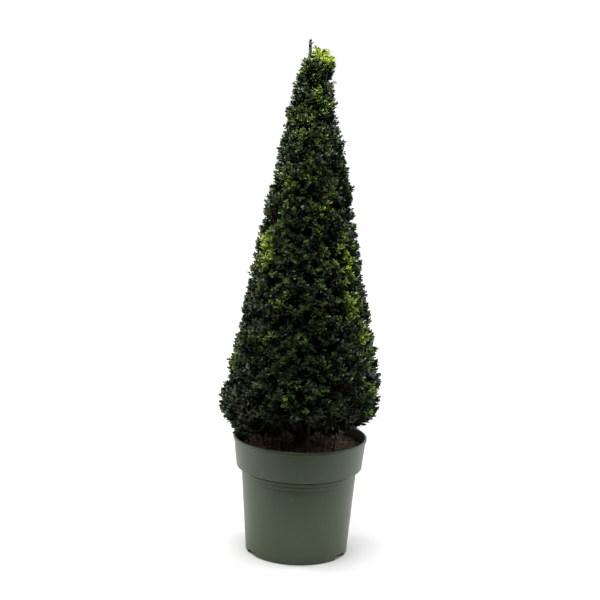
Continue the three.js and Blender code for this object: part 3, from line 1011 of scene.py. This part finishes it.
@dataclass
class Stems:
    """The trunk and boughs, with the bark's relief, and the branches that go on from them into the crown."""

    crown: Crown
    compost: Compost
    tip: Place = (-6.5, 3.0, 835.0)
    bow: Place = (2.5, -5.0, 0.0)
    radius_mm: float = 7.0
    tip_radius_mm: float = 2.2
    taper_power: float = 0.85
    flare_radius_mm: float = 11.5
    flare_height_mm: float = 16.0
    relief_mm: float = 0.55
    # Rings are closer together at the foot, where the flare bends, and at the tip, which is rounded
    rings: int = 186
    foot_crowding: float = 1.4
    tip_rings: int = 6
    tip_round_mm: float = 5.0
    tip_blunt: float = 0.02
    sides: int = 28
    boughs: int = 7
    bough_inset_mm: float = 2.0
    bough_foot_mm: Span = (9.0, 17.0)
    bough_reach_mm: Span = (44.0, 66.0)
    bough_top_mm: float = 246.0
    bough_swing: float = 0.35
    # How far out to its tip, and how far up, a bough's knee is
    bough_knee: Span = (0.62, 0.3)
    bough_radii_mm: Span = (3.0, 2.1)
    bough_rings: int = 26
    bough_sides: int = 12
    bough_relief_mm: float = 0.25
    # Where thin stems rise from the compost. The last few are at the front, where they show under the skirt
    thin_feet_mm: tuple[Span, ...] = (
        (-21, -36), (56, -28), (-46, 14), (24, 42), (-14, 56), (34, -6), (-58, -22), (8, -52),
        (36, -46), (-44, -42), (10, -72))
    thin_sunk_mm: float = 3.0
    thin_splay: Span = (1.1, 1.35)
    thin_top_mm: Span = (250.0, 262.0)
    thin_knee_mm: Span = (-5.0, 5.0)
    thin_radius_mm: float = 1.15
    thin_taper: float = 0.7
    thin_rings: int = 14
    thin_sides: int = 8
    branches: int = 142
    branch_swing: float = 0.25
    branch_jitter: float = math.radians(11)
    # A branch leaves the trunk this many radii of the crown below its shoot, but not too near the compost
    branch_drop: float = 1.05
    branch_foot_mm: float = 24.0
    branch_knee: Span = (0.08, -0.12)
    branch_radii_mm: Span = (1.9, 0.75)
    branch_rings: int = 10
    branch_sides: int = 6
    finish: BoxBark = BoxBark()

    def foot_mm(self) -> float:
        """Returns the height of the compost round the trunk."""
        return float(self.compost.height(0))

    def trunk_point(self, share: float) -> np.ndarray:
        """Finds a point of the trunk's centre line.

        Args:
            share: how far up the trunk it is.

        Returns:
            The point, in millimetres.
        """
        foot = self.foot_mm() + self.compost.gap_mm
        place = (self.tip[0] * share ** 2, self.tip[1] * share ** 2, blend(foot, self.tip[2], share))
        return np.array(place) + np.array(self.bow) * math.sin(math.pi * share) ** 2

    def trunk(self) -> Limb:
        """Shapes the trunk, with a flare at its foot and a rounded tip.

        Returns:
            The trunk.
        """
        rise = self.tip[2] - self.trunk_point(0)[2]
        rounded = 1 - self.tip_round_mm / rise * np.linspace(1, 0, self.tip_rings) ** 2
        lower = np.linspace(0, rounded[0], self.rings)[:-1] ** self.foot_crowding
        shares = np.concatenate([lower, rounded])
        taper = self.radius_mm + (self.tip_radius_mm - self.radius_mm) * shares ** self.taper_power
        flare = (self.flare_radius_mm - self.radius_mm) * np.exp(-shares * rise / self.flare_height_mm)
        blunt = np.sqrt(np.clip((1 - shares) * rise / self.tip_round_mm, self.tip_blunt, 1))
        return Limb(np.array([self.trunk_point(share) for share in shares]), (taper + flare) * blunt)

    def bough(self, index: int) -> Limb:
        """Shapes one of the boughs that rise from the trunk's foot, by the solids' rule.

        Args:
            index: the bough's number.

        Returns:
            The bough.
        """
        draws = SeededDraws(Growth.BOUGH, index)
        out = outward(FULL_TURN * (index + self.bough_swing * draws()) / self.boughs)
        foot_height = self.foot_mm() + draws.between(*self.bough_foot_mm)
        foot = out * (self.flare_radius_mm - self.bough_inset_mm)
        foot[2] = foot_height
        tip = out * draws.between(*self.bough_reach_mm)
        tip[2] = self.bough_top_mm
        knee = foot + (tip - foot) * self.bough_knee[0]
        knee[2] = blend(foot_height, self.bough_top_mm, self.bough_knee[1])
        shares = np.linspace(0, 1, self.bough_rings)
        return Limb(bezier(foot, knee, tip, shares), np.interp(shares, (0, 1), self.bough_radii_mm))

    def thin_stem(self, index: int) -> Limb:
        """Shapes one of the thin stems, from in the compost to inside the skirt.

        Args:
            index: the stem's number.

        Returns:
            The stem.
        """
        draws = SeededDraws(Growth.THIN_STEM, index)
        x, y = self.thin_feet_mm[index]
        foot = np.array((x, y, float(self.compost.height(math.hypot(x, y))) - self.thin_sunk_mm))
        splay = draws.between(*self.thin_splay), draws.between(*self.thin_splay)
        tip = np.array((x * splay[0], y * splay[1], draws.between(*self.thin_top_mm)))
        bend = draws.between(*self.thin_knee_mm), draws.between(*self.thin_knee_mm), 0.0
        shares = np.linspace(0, 1, self.thin_rings)
        radii = np.interp(shares, (0, 1), (self.thin_radius_mm, self.thin_taper * self.thin_radius_mm))
        return Limb(bezier(foot, (foot + tip) / 2 + bend, tip, shares), radii)

    def branch(self, index: int, stems: list[Limb]) -> Limb:
        """Shapes a branch that carries one of the solids' shoots.

        Args:
            index: the shoot's number.
            stems: the boughs and thin stems, for branches that end in the skirt.

        Returns:
            The branch, from the trunk or the tip of a lower stem to inside the shoot's tip.
        """
        draws = SeededDraws(Growth.BRANCH, index)
        height, radius, normal = self.crown.place((index + 0.5) / self.branches)
        out = outward(index * GOLDEN_ANGLE + self.branch_swing * (draws() - 0.5))
        lean = self.crown.lean(normal, self.branch_jitter * (2 * draws() - 1))
        along = out * math.cos(lean) + UP * math.sin(lean)
        leaf = blend(self.crown.leaf_foot_mm, self.crown.leaf_top_mm, self.crown.share(height))
        end = self.crown.settled(out * radius + UP * height - along * self.crown.leaf_past_tip * leaf)
        if self.crown.mass_of(end) == 0:
            start = min((stem.line[-1] for stem in stems), key=lambda tip: np.linalg.norm(tip - end))
        else:
            start_height = max(height - self.branch_drop * radius, self.foot_mm() + self.branch_foot_mm)
            foot = self.trunk_point(0)[2]
            start = self.trunk_point((start_height - foot) / (self.tip[2] - foot))
        outwards, upwards = self.branch_knee
        knee = (start + end) / 2 + np.array((0, 0, upwards * radius)) + out * outwards * radius
        shares = np.linspace(0, 1, self.branch_rings)
        return Limb(bezier(start, knee, end, shares), np.interp(shares, (0, 1), self.branch_radii_mm))

    def build(self) -> list[Limb]:
        """Makes the trunk, the boughs, the thin stems and the branches.

        Returns:
            The branches, for the twigs to grow on from.
        """
        bark = self.finish.material()
        dress(limbs_piece("stem", [self.trunk()], self.sides, bark, self.relief_mm), "bark", "trunk")
        boughs = [self.bough(index) for index in range(self.boughs)]
        for number, bough in enumerate(boughs, 1):
            piece = limbs_piece(f"basal_stem_{number}", [bough], self.bough_sides, bark,
                                self.bough_relief_mm)
            dress(piece, "bark", f"bough_{number}")
        thin = [self.thin_stem(index) for index in range(len(self.thin_feet_mm))]
        dress(limbs_piece("thin_stems", thin, self.thin_sides, bark), "bark")
        branches = [self.branch(index, boughs + thin) for index in range(self.branches)]
        dress(limbs_piece("branches", branches, self.branch_sides, bark), "bark")
        return branches


@dataclass(frozen=True)
class LeafBlade:
    """One box leaf as shares of its length: an oval, widest at its middle, with a blunt, drooping tip."""

    stations: tuple[float, ...] = (0.2, 0.52, 0.83)
    halves: tuple[float, ...] = (0.64, 1.0, 0.74)
    width_share: float = 0.5
    roll: float = 0.2
    arch: float = 0.07
    droop: float = 0.03

    def template(self) -> tuple[np.ndarray, np.ndarray]:
        """Builds the leaf that the others are copied from.

        Returns:
            The blade's points, as shares along, across and over it, and its triangles.
        """
        rows = [(0.0, 0.0, 0.0)]
        for station, half in zip(self.stations, self.halves):
            across = half * self.width_share / 2
            rise = self.arch * math.sin(math.pi * station)
            edge = rise - self.roll * across
            rows += [(station, -across, edge), (station, 0.0, rise), (station, across, edge)]
        rows.append((1.0, 0.0, -self.droop))
        triangles = [(0, 1, 2), (0, 2, 3)]
        for row in range(len(self.stations) - 1):
            for low in (1 + 3 * row, 2 + 3 * row):
                high = low + 3
                triangles += [(low, high, high + 1), (low, high + 1, low + 1)]
        tip = len(rows) - 1
        triangles += [(tip - 3, tip, tip - 2), (tip - 2, tip, tip - 1)]
        return np.array(rows), np.array(triangles)


# Leaves that hardly show, deep in the crown, have the same outline from fewer faces
OUTER_BLADE = LeafBlade()
INNER_BLADE = LeafBlade(stations=(0.24, 0.72), halves=(0.78, 0.9), width_share=0.54)


@dataclass(frozen=True)
class LeafHabit:
    """How pairs of leaves stand on a shoot: folded forward and close at its tip, open and apart behind."""

    gap_spread: Span = (0.8, 1.15)
    open_degrees: float = 26.0
    opening_per_mm: float = 2.1
    opening_mm: float = 18.0
    upturn: float = 0.3
    scatter: float = 0.4
    tip_sizes: Span = (0.62, 0.85)
    size_spread: Span = (0.84, 1.1)
    twist: Span = (-0.45, 0.45)
    breadth: Span = (0.88, 1.1)
    curl: Span = (0.4, 1.8)
    # How far to each side of a pair the shoot's own direction is read
    node_mm: float = 2.0


@dataclass(frozen=True)
class LitFlush:
    """A place on the crown, by angle in degrees and height, with more new growth, as painted light."""

    angle: float
    height: float
    wide: float
    tall: float
    strength: float

    def at(self, turn: float, height: float) -> float:
        """Returns how strongly the lit flush is felt at an angle in degrees and a height in millimetres."""
        away, above = (turn - self.angle + 180) % 360 - 180, height - self.height
        return self.strength * math.exp(-(away / self.wide) ** 2 - (above / self.tall) ** 2)


# Flushes in front paint light: lime leaves where light catches the crown. Those behind are new growth
LIT_FLUSHES = (
    LitFlush(-15, 818, 62, 16, 2.2),
    LitFlush(-70, 745, 22, 36, 0.7),
    LitFlush(-42, 487, 12, 46, 0.78),
    LitFlush(-38, 425, 12, 26, 0.65),
    LitFlush(-24, 355, 9, 45, 1.05),
    LitFlush(-30, 285, 10, 16, 0.9),
    LitFlush(-28, 250, 12, 8, 1.9),
    LitFlush(-104, 278, 7, 7, 2.3),
    LitFlush(-88, 276, 5, 7, 2.3),
    LitFlush(-122, 280, 4, 6, 2.0),
    LitFlush(-152, 512, 13, 32, 1.0),
    LitFlush(-138, 490, 10, 22, 0.9),
    LitFlush(-125, 600, 18, 25, 0.35),
    LitFlush(-172, 335, 12, 36, 0.5),
    LitFlush(-165, 262, 18, 26, 0.5),
    LitFlush(60, 620, 34, 80, 0.6),
    LitFlush(125, 400, 26, 90, 0.5),
    LitFlush(100, 780, 40, 30, 0.8),
    LitFlush(20, 330, 20, 50, 0.4),
)

# The newness of all that grows in the shade, and the least newness of leaves that aren't yet dark
SHADED = -1.0
AGES = ((0.95, LeafAge.TIP), (0.52, LeafAge.YOUNG), (0.16, LeafAge.GREEN))


@dataclass(frozen=True)
class Shoot:
    """What a shoot is like: its mass, leaf length or 0 for none, newness with painted light, and draws."""

    mass: int
    leaf_mm: float
    newness_and_light: float
    draws: SeededDraws
    gap_mm: float = 3.8


@dataclass
class Foliage:
    """The leafy sprays: fine shoots over the crown and some in it, each with crosswise pairs of leaves."""

    crown: Crown
    stems: Stems
    shoots: int = 4700
    leaf_foot_mm: float = 10.6
    leaf_top_mm: float = 9.4
    leaf_spread: Span = (0.82, 1.12)
    turn_spread: float = 0.5
    jitter: float = math.radians(22)
    swing: float = 0.5
    leafy_mm: float = 23.0
    leafy_spread: Span = (0.85, 1.1)
    curve_per_mm: float = 0.011
    # How far clumps, and tufts in them, stand out of the clipped surface. Near the thin summit it is less
    clump_mm: float = 26.0
    clump_reach_mm: float = 20.0
    tuft_mm: float = 12.0
    tuft_reach_mm: float = 9.0
    tuft_shift: Place = (50.0, 0.0, 0.0)
    uneven_mm: float = 2.0
    reach_most_mm: float = 3.2
    summit_reach: float = 0.35
    full_reach_mm: float = 60.0
    pit_level: float = -0.2
    pit_share: float = 0.75
    stray_share: float = 0.08
    stray_mm: float = 6.0
    stray_spread: Span = (0.4, 1.0)
    # At the front of the hem most shoots have lost their leaves, and about half of those have dropped
    bare_share: float = 0.88
    dropped_share: float = 0.55
    inner_shoots: int = 2100
    inner_turn: float = 1.3
    inner_bare_rise_mm: float = 25.0
    inner_radius_mm: float = 24.0
    inner_depth_mm: Span = (12.0, 56.0)
    inner_depth_most: float = 0.6
    inner_sag: float = 0.3
    inner_leafy: float = 0.75
    # Leaves in the shade are larger than life, the deeper the more, so that few are needed to close the gaps
    inner_leaf: Span = (1.3, 1.9)
    # Newness at the crown's foot and above it, and how much it differs among sprays, clumps and tufts
    # The rise up the crown also paints light: the better-lit upper crown gets paler, newer leaves
    newness_and_light: Span = (-0.17, 0.08)
    newness_rise: float = 0.36
    spray_newness: float = 0.45
    clump_newness: float = 0.6
    tuft_newness: float = 0.4
    # Sprays near the hem are older and darker, as painted shade under the skirt
    aged_shade_by: float = 0.5
    aged_shade_below_mm: float = 288.0
    aged_shade_fade_mm: float = 30.0
    # How far back on a shoot its leaves are older by 1, and which dark leaves are mature and which are old
    ageing_mm: float = 22.0
    age_spread: float = 0.16
    mature_mm: float = 13.0
    mature_newness: float = -0.6
    spine_points: int = 4
    inner_spine_points: int = 2
    shoot_radii_mm: Span = (1.05, 0.35)
    twig_sides: int = 3
    fork_bend_mm: float = 2.0
    leader_foot: float = 0.945
    leader_points: int = 5
    leader_leaf_mm: float = 8.5
    leader_gap_mm: float = 4.2
    rim_clearance_mm: float = 4.0
    habit: LeafHabit = LeafHabit()
    twig_finish: GreenTwig = GreenTwig()
    forks: np.ndarray = field(init=False)
    leaves: dict[tuple[int, LeafAge], list[tuple[float, ...]]] = field(init=False)
    twigs: list[list[Limb]] = field(init=False)

    def __post_init__(self) -> None:
        """Sets up an empty list of leaves for each mass and age, and of twigs for each mass."""
        self.leaves = {(mass, age): [] for mass in range(len(self.crown.masses)) for age in LeafAge}
        self.twigs = [[] for _ in self.crown.masses]

    def leaf_at(self, height: float) -> float:
        """Returns the length of a leaf at a height."""
        return blend(self.leaf_foot_mm, self.leaf_top_mm, self.crown.share(height))

    def heading(self, turn: float, normal: float, draws: SeededDraws) -> np.ndarray:
        """Finds the way that a shoot points.

        Args:
            turn: its angle round the crown.
            normal: the outline's slope there.
            draws: the shoot's own numbers.

        Returns:
            A unit vector, out and up with some scatter.
        """
        lean = self.crown.lean(normal, self.jitter * (2 * draws() - 1))
        swing = self.swing * (2 * draws() - 1)
        out = outward(turn)
        side = np.cross(UP, out)
        return unit((out * math.cos(swing) + side * math.sin(swing)) * math.cos(lean) + UP * math.sin(lean))

    def outer_shoot(self, index: int) -> None:
        """Grows one shoot of the clipped surface, which has clumps and tufts that stand out, and pits.

        Args:
            index: the shoot's number.
        """
        draws = SeededDraws(Growth.OUTER_SHOOT, index)
        height, radius, normal = self.crown.place((index + 0.5) / self.shoots)
        turn = index * GOLDEN_ANGLE + self.turn_spread * (draws() - 0.5)
        out = outward(turn)
        place = out * radius + UP * height
        clump = noise.noise(Vector(place / self.clump_mm))
        tuft = noise.noise(Vector(place / self.tuft_mm) + Vector(self.tuft_shift))
        pitted = draws() < self.pit_share
        bare = draws() < self.bare_share * self.crown.bareness(turn, height)
        if tuft < self.pit_level and pitted or bare and draws() < self.dropped_share:
            return
        reach = self.clump_reach_mm * clump + self.tuft_reach_mm * tuft + self.uneven_mm * (2 * draws() - 1)
        reach = min(reach, self.reach_most_mm) * min(1.0, self.summit_reach + radius / self.full_reach_mm)
        if draws() < self.stray_share:
            reach += self.stray_mm * draws.between(*self.stray_spread)
        along = self.heading(turn, normal, draws)
        leaf = self.leaf_at(height) * draws.between(*self.leaf_spread)
        face = out * math.cos(normal) + UP * math.sin(normal)
        tip = place + face * reach - along * self.crown.leaf_past_tip * leaf
        mass = self.crown.mass_of(tip)
        tip = self.crown.settled(tip)
        # Flushes paint light into the leaves' colour
        degrees = math.degrees(math.atan2(tip[1], tip[0]))
        lit_flushed = sum(lit_flush.at(degrees, tip[2]) for lit_flush in LIT_FLUSHES)
        spread = (self.spray_newness * (draws() - 0.5) + self.clump_newness * clump
                  + self.tuft_newness * tuft)
        # Older, darker sprays near the hem are painted shade
        aged_shade = self.aged_shade_by * clamped((self.aged_shade_below_mm - height) / self.aged_shade_fade_mm)
        risen = min(self.crown.share(height) / self.newness_rise, 1.0)
        newness_and_light = blend(*self.newness_and_light, risen) + lit_flushed + spread - aged_shade
        leafy = self.leafy_mm * draws.between(*self.leafy_spread)
        self.spray(Shoot(mass, 0.0 if bare else leaf, newness_and_light, draws), tip, along, leafy)

    def inner_shoot(self, index: int) -> None:
        """Grows one shaded shoot under the surface, with old leaves only, to close the gaps in the sprays.

        Args:
            index: the shoot's number.
        """
        draws = SeededDraws(Growth.INNER_SHOOT, index)
        height, radius, normal = self.crown.place((index + 0.5) / self.inner_shoots)
        turn = index * GOLDEN_ANGLE + self.inner_turn + self.turn_spread * (draws() - 0.5)
        thinned = draws() < self.bare_share * self.crown.bareness(turn, height + self.inner_bare_rise_mm)
        if radius < self.inner_radius_mm or thinned:
            return
        along = self.heading(turn, normal, draws)
        shallow, deep = self.inner_depth_mm
        depth = min(draws.between(shallow, deep), self.inner_depth_most * radius)
        tip = outward(turn) * (radius - depth) + UP * (height - self.inner_sag * depth)
        leaf = blend(*self.inner_leaf, (depth - shallow) / (deep - shallow)) * self.leaf_at(height)
        shoot = Shoot(self.crown.mass_of(tip), leaf, SHADED, draws)
        self.spray(shoot, self.crown.settled(tip), along, self.inner_leafy * self.leafy_mm)

    def leader(self) -> None:
        """Sets a few small leaves on the bare leader that stands above the crown."""
        shares = np.linspace(1.0, self.leader_foot, self.leader_points)
        spine = np.array([self.stems.trunk_point(share) for share in shares])
        top, draws = len(self.crown.masses) - 1, SeededDraws(Growth.LEADER)
        shoot = Shoot(top, self.leader_leaf_mm, 0.0, draws, self.leader_gap_mm)
        self.pairs(shoot, spine, np.linalg.norm(spine - spine[0], axis=1))

    def spray(self, shoot: Shoot, tip: np.ndarray, along: np.ndarray, leafy: float) -> None:
        """Grows a twig from the nearest branch out to a shoot's tip, and its pairs of leaves.

        Args:
            shoot: what the shoot is like.
            tip: its end.
            along: the way that it points there.
            leafy: how far back from its tip it is leafy.
        """
        points = self.spine_points if shoot.newness_and_light > SHADED else self.inner_spine_points
        backs = np.linspace(0, leafy, points)
        spine = tip - along * backs[:, None] + UP * (0.5 * self.curve_per_mm * backs ** 2)[:, None]
        fork = self.forks[np.argmin(np.linalg.norm(self.forks - spine[-1], axis=1))]
        bend = (spine[-1] + fork) / 2 - along * self.fork_bend_mm
        line = np.concatenate([spine, [bend, fork]])[::-1]
        radii = np.interp(np.arange(len(line)), (0, len(line) - 1), self.shoot_radii_mm)
        self.twigs[shoot.mass].append(Limb(line, radii))
        if shoot.leaf_mm:
            self.pairs(shoot, spine, backs)

    def pairs(self, shoot: Shoot, spine: np.ndarray, backs: np.ndarray) -> None:
        """Sets the crosswise pairs of leaves on a shoot, leaving out leaves that would reach the pot's rim.

        Args:
            shoot: what the shoot is like.
            spine: the points of its leafy part, from its tip back.
            backs: how far back each of them is.
        """
        draws, habit = shoot.draws, self.habit
        lowest = self.stems.compost.pot.height_mm + self.rim_clearance_mm
        back, pair, spin = 0.0, 0, draws() * math.pi
        while back < backs[-1]:
            node, ahead, behind = (
                np.array([np.interp(place, backs, spine[:, axis]) for axis in range(3)])
                for place in (back, max(back - habit.node_mm, 0), back + habit.node_mm)
            )
            along = unit(ahead - behind)
            side = unit(np.cross(UP, along))
            over = np.cross(along, side)
            opening = math.radians(habit.open_degrees + min(back, habit.opening_mm) * habit.opening_per_mm)
            size = shoot.leaf_mm * (habit.tip_sizes[pair] if pair < len(habit.tip_sizes) else 1.0)
            age = self.age(shoot, back)
            for hand in (0, 1):
                turn = spin + (pair + 2 * hand) * math.pi / 2 + habit.scatter * (draws() - 0.5)
                angle = opening + habit.scatter * (draws() - 0.5)
                away = side * math.cos(turn) + over * math.sin(turn)
                way = along * math.cos(angle) + away * math.sin(angle)
                length = size * draws.between(*habit.size_spread)
                if min(node[2], node[2] + way[2] * length) < lowest:
                    continue
                self.leaves[shoot.mass, age].append((
                    *node, *way, *(along + habit.upturn * UP), length,
                    draws.between(*habit.twist), draws.between(*habit.breadth), draws.between(*habit.curl)))
            back += shoot.gap_mm * draws.between(*habit.gap_spread)
            pair += 1

    def age(self, shoot: Shoot, back: float) -> LeafAge:
        """Finds the age of a pair of leaves, newer towards the shoot's tip.

        Args:
            shoot: what the shoot is like.
            back: how far back from its tip the pair is, in millimetres.

        Returns:
            The age.
        """
        new = shoot.newness_and_light - back / self.ageing_mm + self.age_spread * shoot.draws()
        for least, age in AGES:
            if new > least:
                return age
        mature = back < self.mature_mm and shoot.newness_and_light > self.mature_newness
        return LeafAge.MATURE if mature else LeafAge.OLD

    def leaf_piece(self, name: str, leaves: list[tuple[float, ...]], blade: LeafBlade,
                   material: Material) -> Piece:
        """Joins leaves into one piece.

        Args:
            name: the piece's name.
            leaves: root, direction, facing, length, twist, breadth and curl of each.
            blade: the shape that they share.
            material: the material of them all.

        Returns:
            The joined piece.
        """
        shape, triangles = blade.template()
        root, along, facing, rest = np.split(np.array(leaves), (3, 6, 9), axis=1)
        length, twist, breadth, curl = np.split(rest, 4, axis=1)
        across = unit(np.cross(facing, along))
        over = np.cross(along, across)
        turned = (across * np.cos(twist) + over * np.sin(twist)) * breadth
        raised = (over * np.cos(twist) - across * np.sin(twist)) * curl
        frames = np.stack([along, turned, raised], axis=1) * length[:, :, None]
        points = root[:, None, :] + np.einsum("ps,nsc->npc", shape, frames)
        faces = triangles[None] + (np.arange(len(leaves)) * len(shape))[:, None, None]
        return mesh_piece(name, points.reshape(-1, 3) * MM, faces.reshape(-1, 3), material)

    def build(self, branches: list[Limb]) -> None:
        """Grows every shoot, and makes the twigs and leaves of every mass.

        Args:
            branches: the branches that the shoots' twigs start from.
        """
        self.forks = np.concatenate([branch.line[2:] for branch in branches])
        for index in range(self.shoots):
            self.outer_shoot(index)
        for index in range(self.inner_shoots):
            self.inner_shoot(index)
        self.leader()
        bark = self.twig_finish.material()
        materials = {finish.age: finish.material() for finish in LEAF_FINISHES}
        for mass, node in enumerate(self.crown.masses):
            dress(limbs_piece(f"{node}_twigs", self.twigs[mass], self.twig_sides, bark), "foliage", node)
            for age in LeafAge:
                leaves = self.leaves[mass, age]
                blade = INNER_BLADE if age is LeafAge.OLD else OUTER_BLADE
                if leaves:
                    piece = self.leaf_piece(f"{node}_leaves_{age.value}", leaves, blade, materials[age])
                    dress(piece, "foliage", node)


@dataclass(frozen=True)
class Lamp:
    """A soft rectangular light: its place, width and height, its power in watts, and the height it faces."""

    name: str
    place: Place
    size: Span
    power: float
    aim: float

    def build(self) -> None:
        """Sets up the light, facing the pot's axis."""
        light = bpy.data.lights.new(self.name, "AREA")
        light.shape = "RECTANGLE"
        light.size, light.size_y = self.size
        light.energy = self.power
        lamp = bpy.data.objects.new(self.name, light)
        lamp.location = self.place
        facing = Vector((0, 0, self.aim)) - Vector(self.place)
        lamp.rotation_euler = facing.to_track_quat("-Z", "Y").to_euler()
        bpy.context.scene.collection.objects.link(lamp)


@dataclass
class Studio:
    """A seamless white table in soft light from above, behind and both sides, and the camera in front."""

    distance: float = 2.2366
    height: float = 0.8094
    pitch: float = math.radians(9.87)
    yaw: float = math.radians(-0.21)
    roll: float = math.radians(2.08)
    focal_px: float = 1400.3
    image_px: float = 600.0
    sensor_mm: float = 36.0
    table_front: float = 0.36
    table_reach: float = 12.0
    white: str = "#ffffff"
    paper: str = "#f7f7f6"
    paper_roughness: float = 0.9
    paper_gloss: float = 0.1
    # Away from the plant the paper glows, as painted light, so it runs into the white surround with no line
    glow: float = 0.55
    glow_from: Span = (0.5, 1.5)
    # The surround is bright behind the plant and dim in front of it, by how far back a direction points
    surround: str = "#fcfdff"
    surround_light: Span = (0.03, 1.15)
    surround_back: Span = (-0.55, 0.45)
    lamps: tuple[Lamp, ...] = (
        Lamp("top_back", (0.1, 0.7, 1.7), (0.9, 0.6), 6.0, 0.4),
        Lamp("top_front", (-0.12, -0.42, 1.45), (0.7, 0.6), 15.5, 0.7),
        Lamp("left", (-1.2, 0.35, 1.0), (0.35, 1.1), 6.0, 0.5),
        Lamp("right", (1.2, 0.35, 0.95), (0.35, 1.1), 5.5, 0.45),
    )

    def camera(self) -> None:
        """Makes the camera, rolled a little, as a hand-held one is."""
        level = math.cos(self.pitch)
        ahead = Vector((math.sin(self.yaw) * level, math.cos(self.yaw) * level, -math.sin(self.pitch)))
        right = Vector((math.cos(self.yaw), -math.sin(self.yaw), 0))
        up = right.cross(ahead)
        across = right * math.cos(self.roll) + up * math.sin(self.roll)
        upright = up * math.cos(self.roll) - right * math.sin(self.roll)
        lens = bpy.data.cameras.new("camera")
        lens.sensor_width = self.sensor_mm
        lens.lens = self.sensor_mm * self.focal_px / self.image_px
        camera = bpy.data.objects.new("camera", lens)
        turn = Matrix((across, upright, -ahead)).transposed().to_4x4()
        camera.matrix_world = Matrix.Translation((0, -self.distance, self.height)) @ turn
        bpy.context.scene.collection.objects.link(camera)
        bpy.context.scene.camera = camera

    def table(self) -> None:
        """Makes the table of seamless paper, whose front edge lies below the picture."""
        made = Surface("seamless_paper")
        away = add_node(made.tree, "ShaderNodeVectorMath", {"operation": "LENGTH"}, _0=made.place)
        # The paper's glow with distance from the plant is painted light
        glow = add_node(made.tree, "ShaderNodeMapRange", {"interpolation_type": "SMOOTHSTEP"},
                        Value=away.outputs["Value"], From_Min=self.glow_from[0], From_Max=self.glow_from[1],
                        To_Min=0.0, To_Max=self.glow)
        paper = made.finished(Base_Color=linear(self.paper), Roughness=self.paper_roughness,
                              Specular_IOR_Level=self.paper_gloss, Emission_Color=linear(self.white),
                              Emission_Strength=glow.outputs["Result"])
        far, front = self.table_reach, self.table_front
        points = np.array([(-far, -front, 0), (far, -front, 0), (far, far, 0), (-far, far, 0)])
        floor = mesh_piece("studio_table", points, np.array([[0, 1, 2, 3]]), paper)

    def world(self) -> None:
        """Lights the scene from the surround, and shows it white."""
        world = bpy.data.worlds.new("studio")
        bpy.context.scene.world = world
        world.use_nodes = True
        tree = world.node_tree
        tree.nodes.clear()
        way = add_node(tree, "ShaderNodeTexCoord").outputs["Generated"]
        back = add_node(tree, "ShaderNodeSeparateXYZ", Vector=way).outputs["Y"]
        light = add_node(tree, "ShaderNodeMapRange", {"interpolation_type": "SMOOTHSTEP"}, Value=back,
                         From_Min=self.surround_back[0], From_Max=self.surround_back[1],
                         To_Min=self.surround_light[0], To_Max=self.surround_light[1])
        lit = add_node(tree, "ShaderNodeBackground", Color=linear(self.surround),
                       Strength=light.outputs["Result"])
        seen = add_node(tree, "ShaderNodeBackground", Color=linear(self.white), Strength=1.0)
        path = add_node(tree, "ShaderNodeLightPath")
        mixed = add_node(tree, "ShaderNodeMixShader", _0=path.outputs["Is Camera Ray"],
                         _1=lit.outputs["Background"], _2=seen.outputs["Background"])
        add_node(tree, "ShaderNodeOutputWorld", Surface=mixed.outputs["Shader"])

    def build(self) -> None:
        """Sets up the camera, the table and the light."""
        self.camera()
        self.table()
        self.world()
        for lamp in self.lamps:
            lamp.build()
        bpy.context.scene.view_settings.view_transform = "Standard"


def main() -> None:
    """Builds the studio, the pot, the compost, the stems and the foliage in turn."""
    logging.basicConfig(level=logging.INFO, format="%(message)s")
    Studio().build()
    pot = Pot()
    pot.build()
    compost = Compost(pot)
    compost.build()
    crown = Crown()
    stems = Stems(crown, compost)
    Foliage(crown, stems).build(stems.build())


if __name__ == "__main__":
    main()
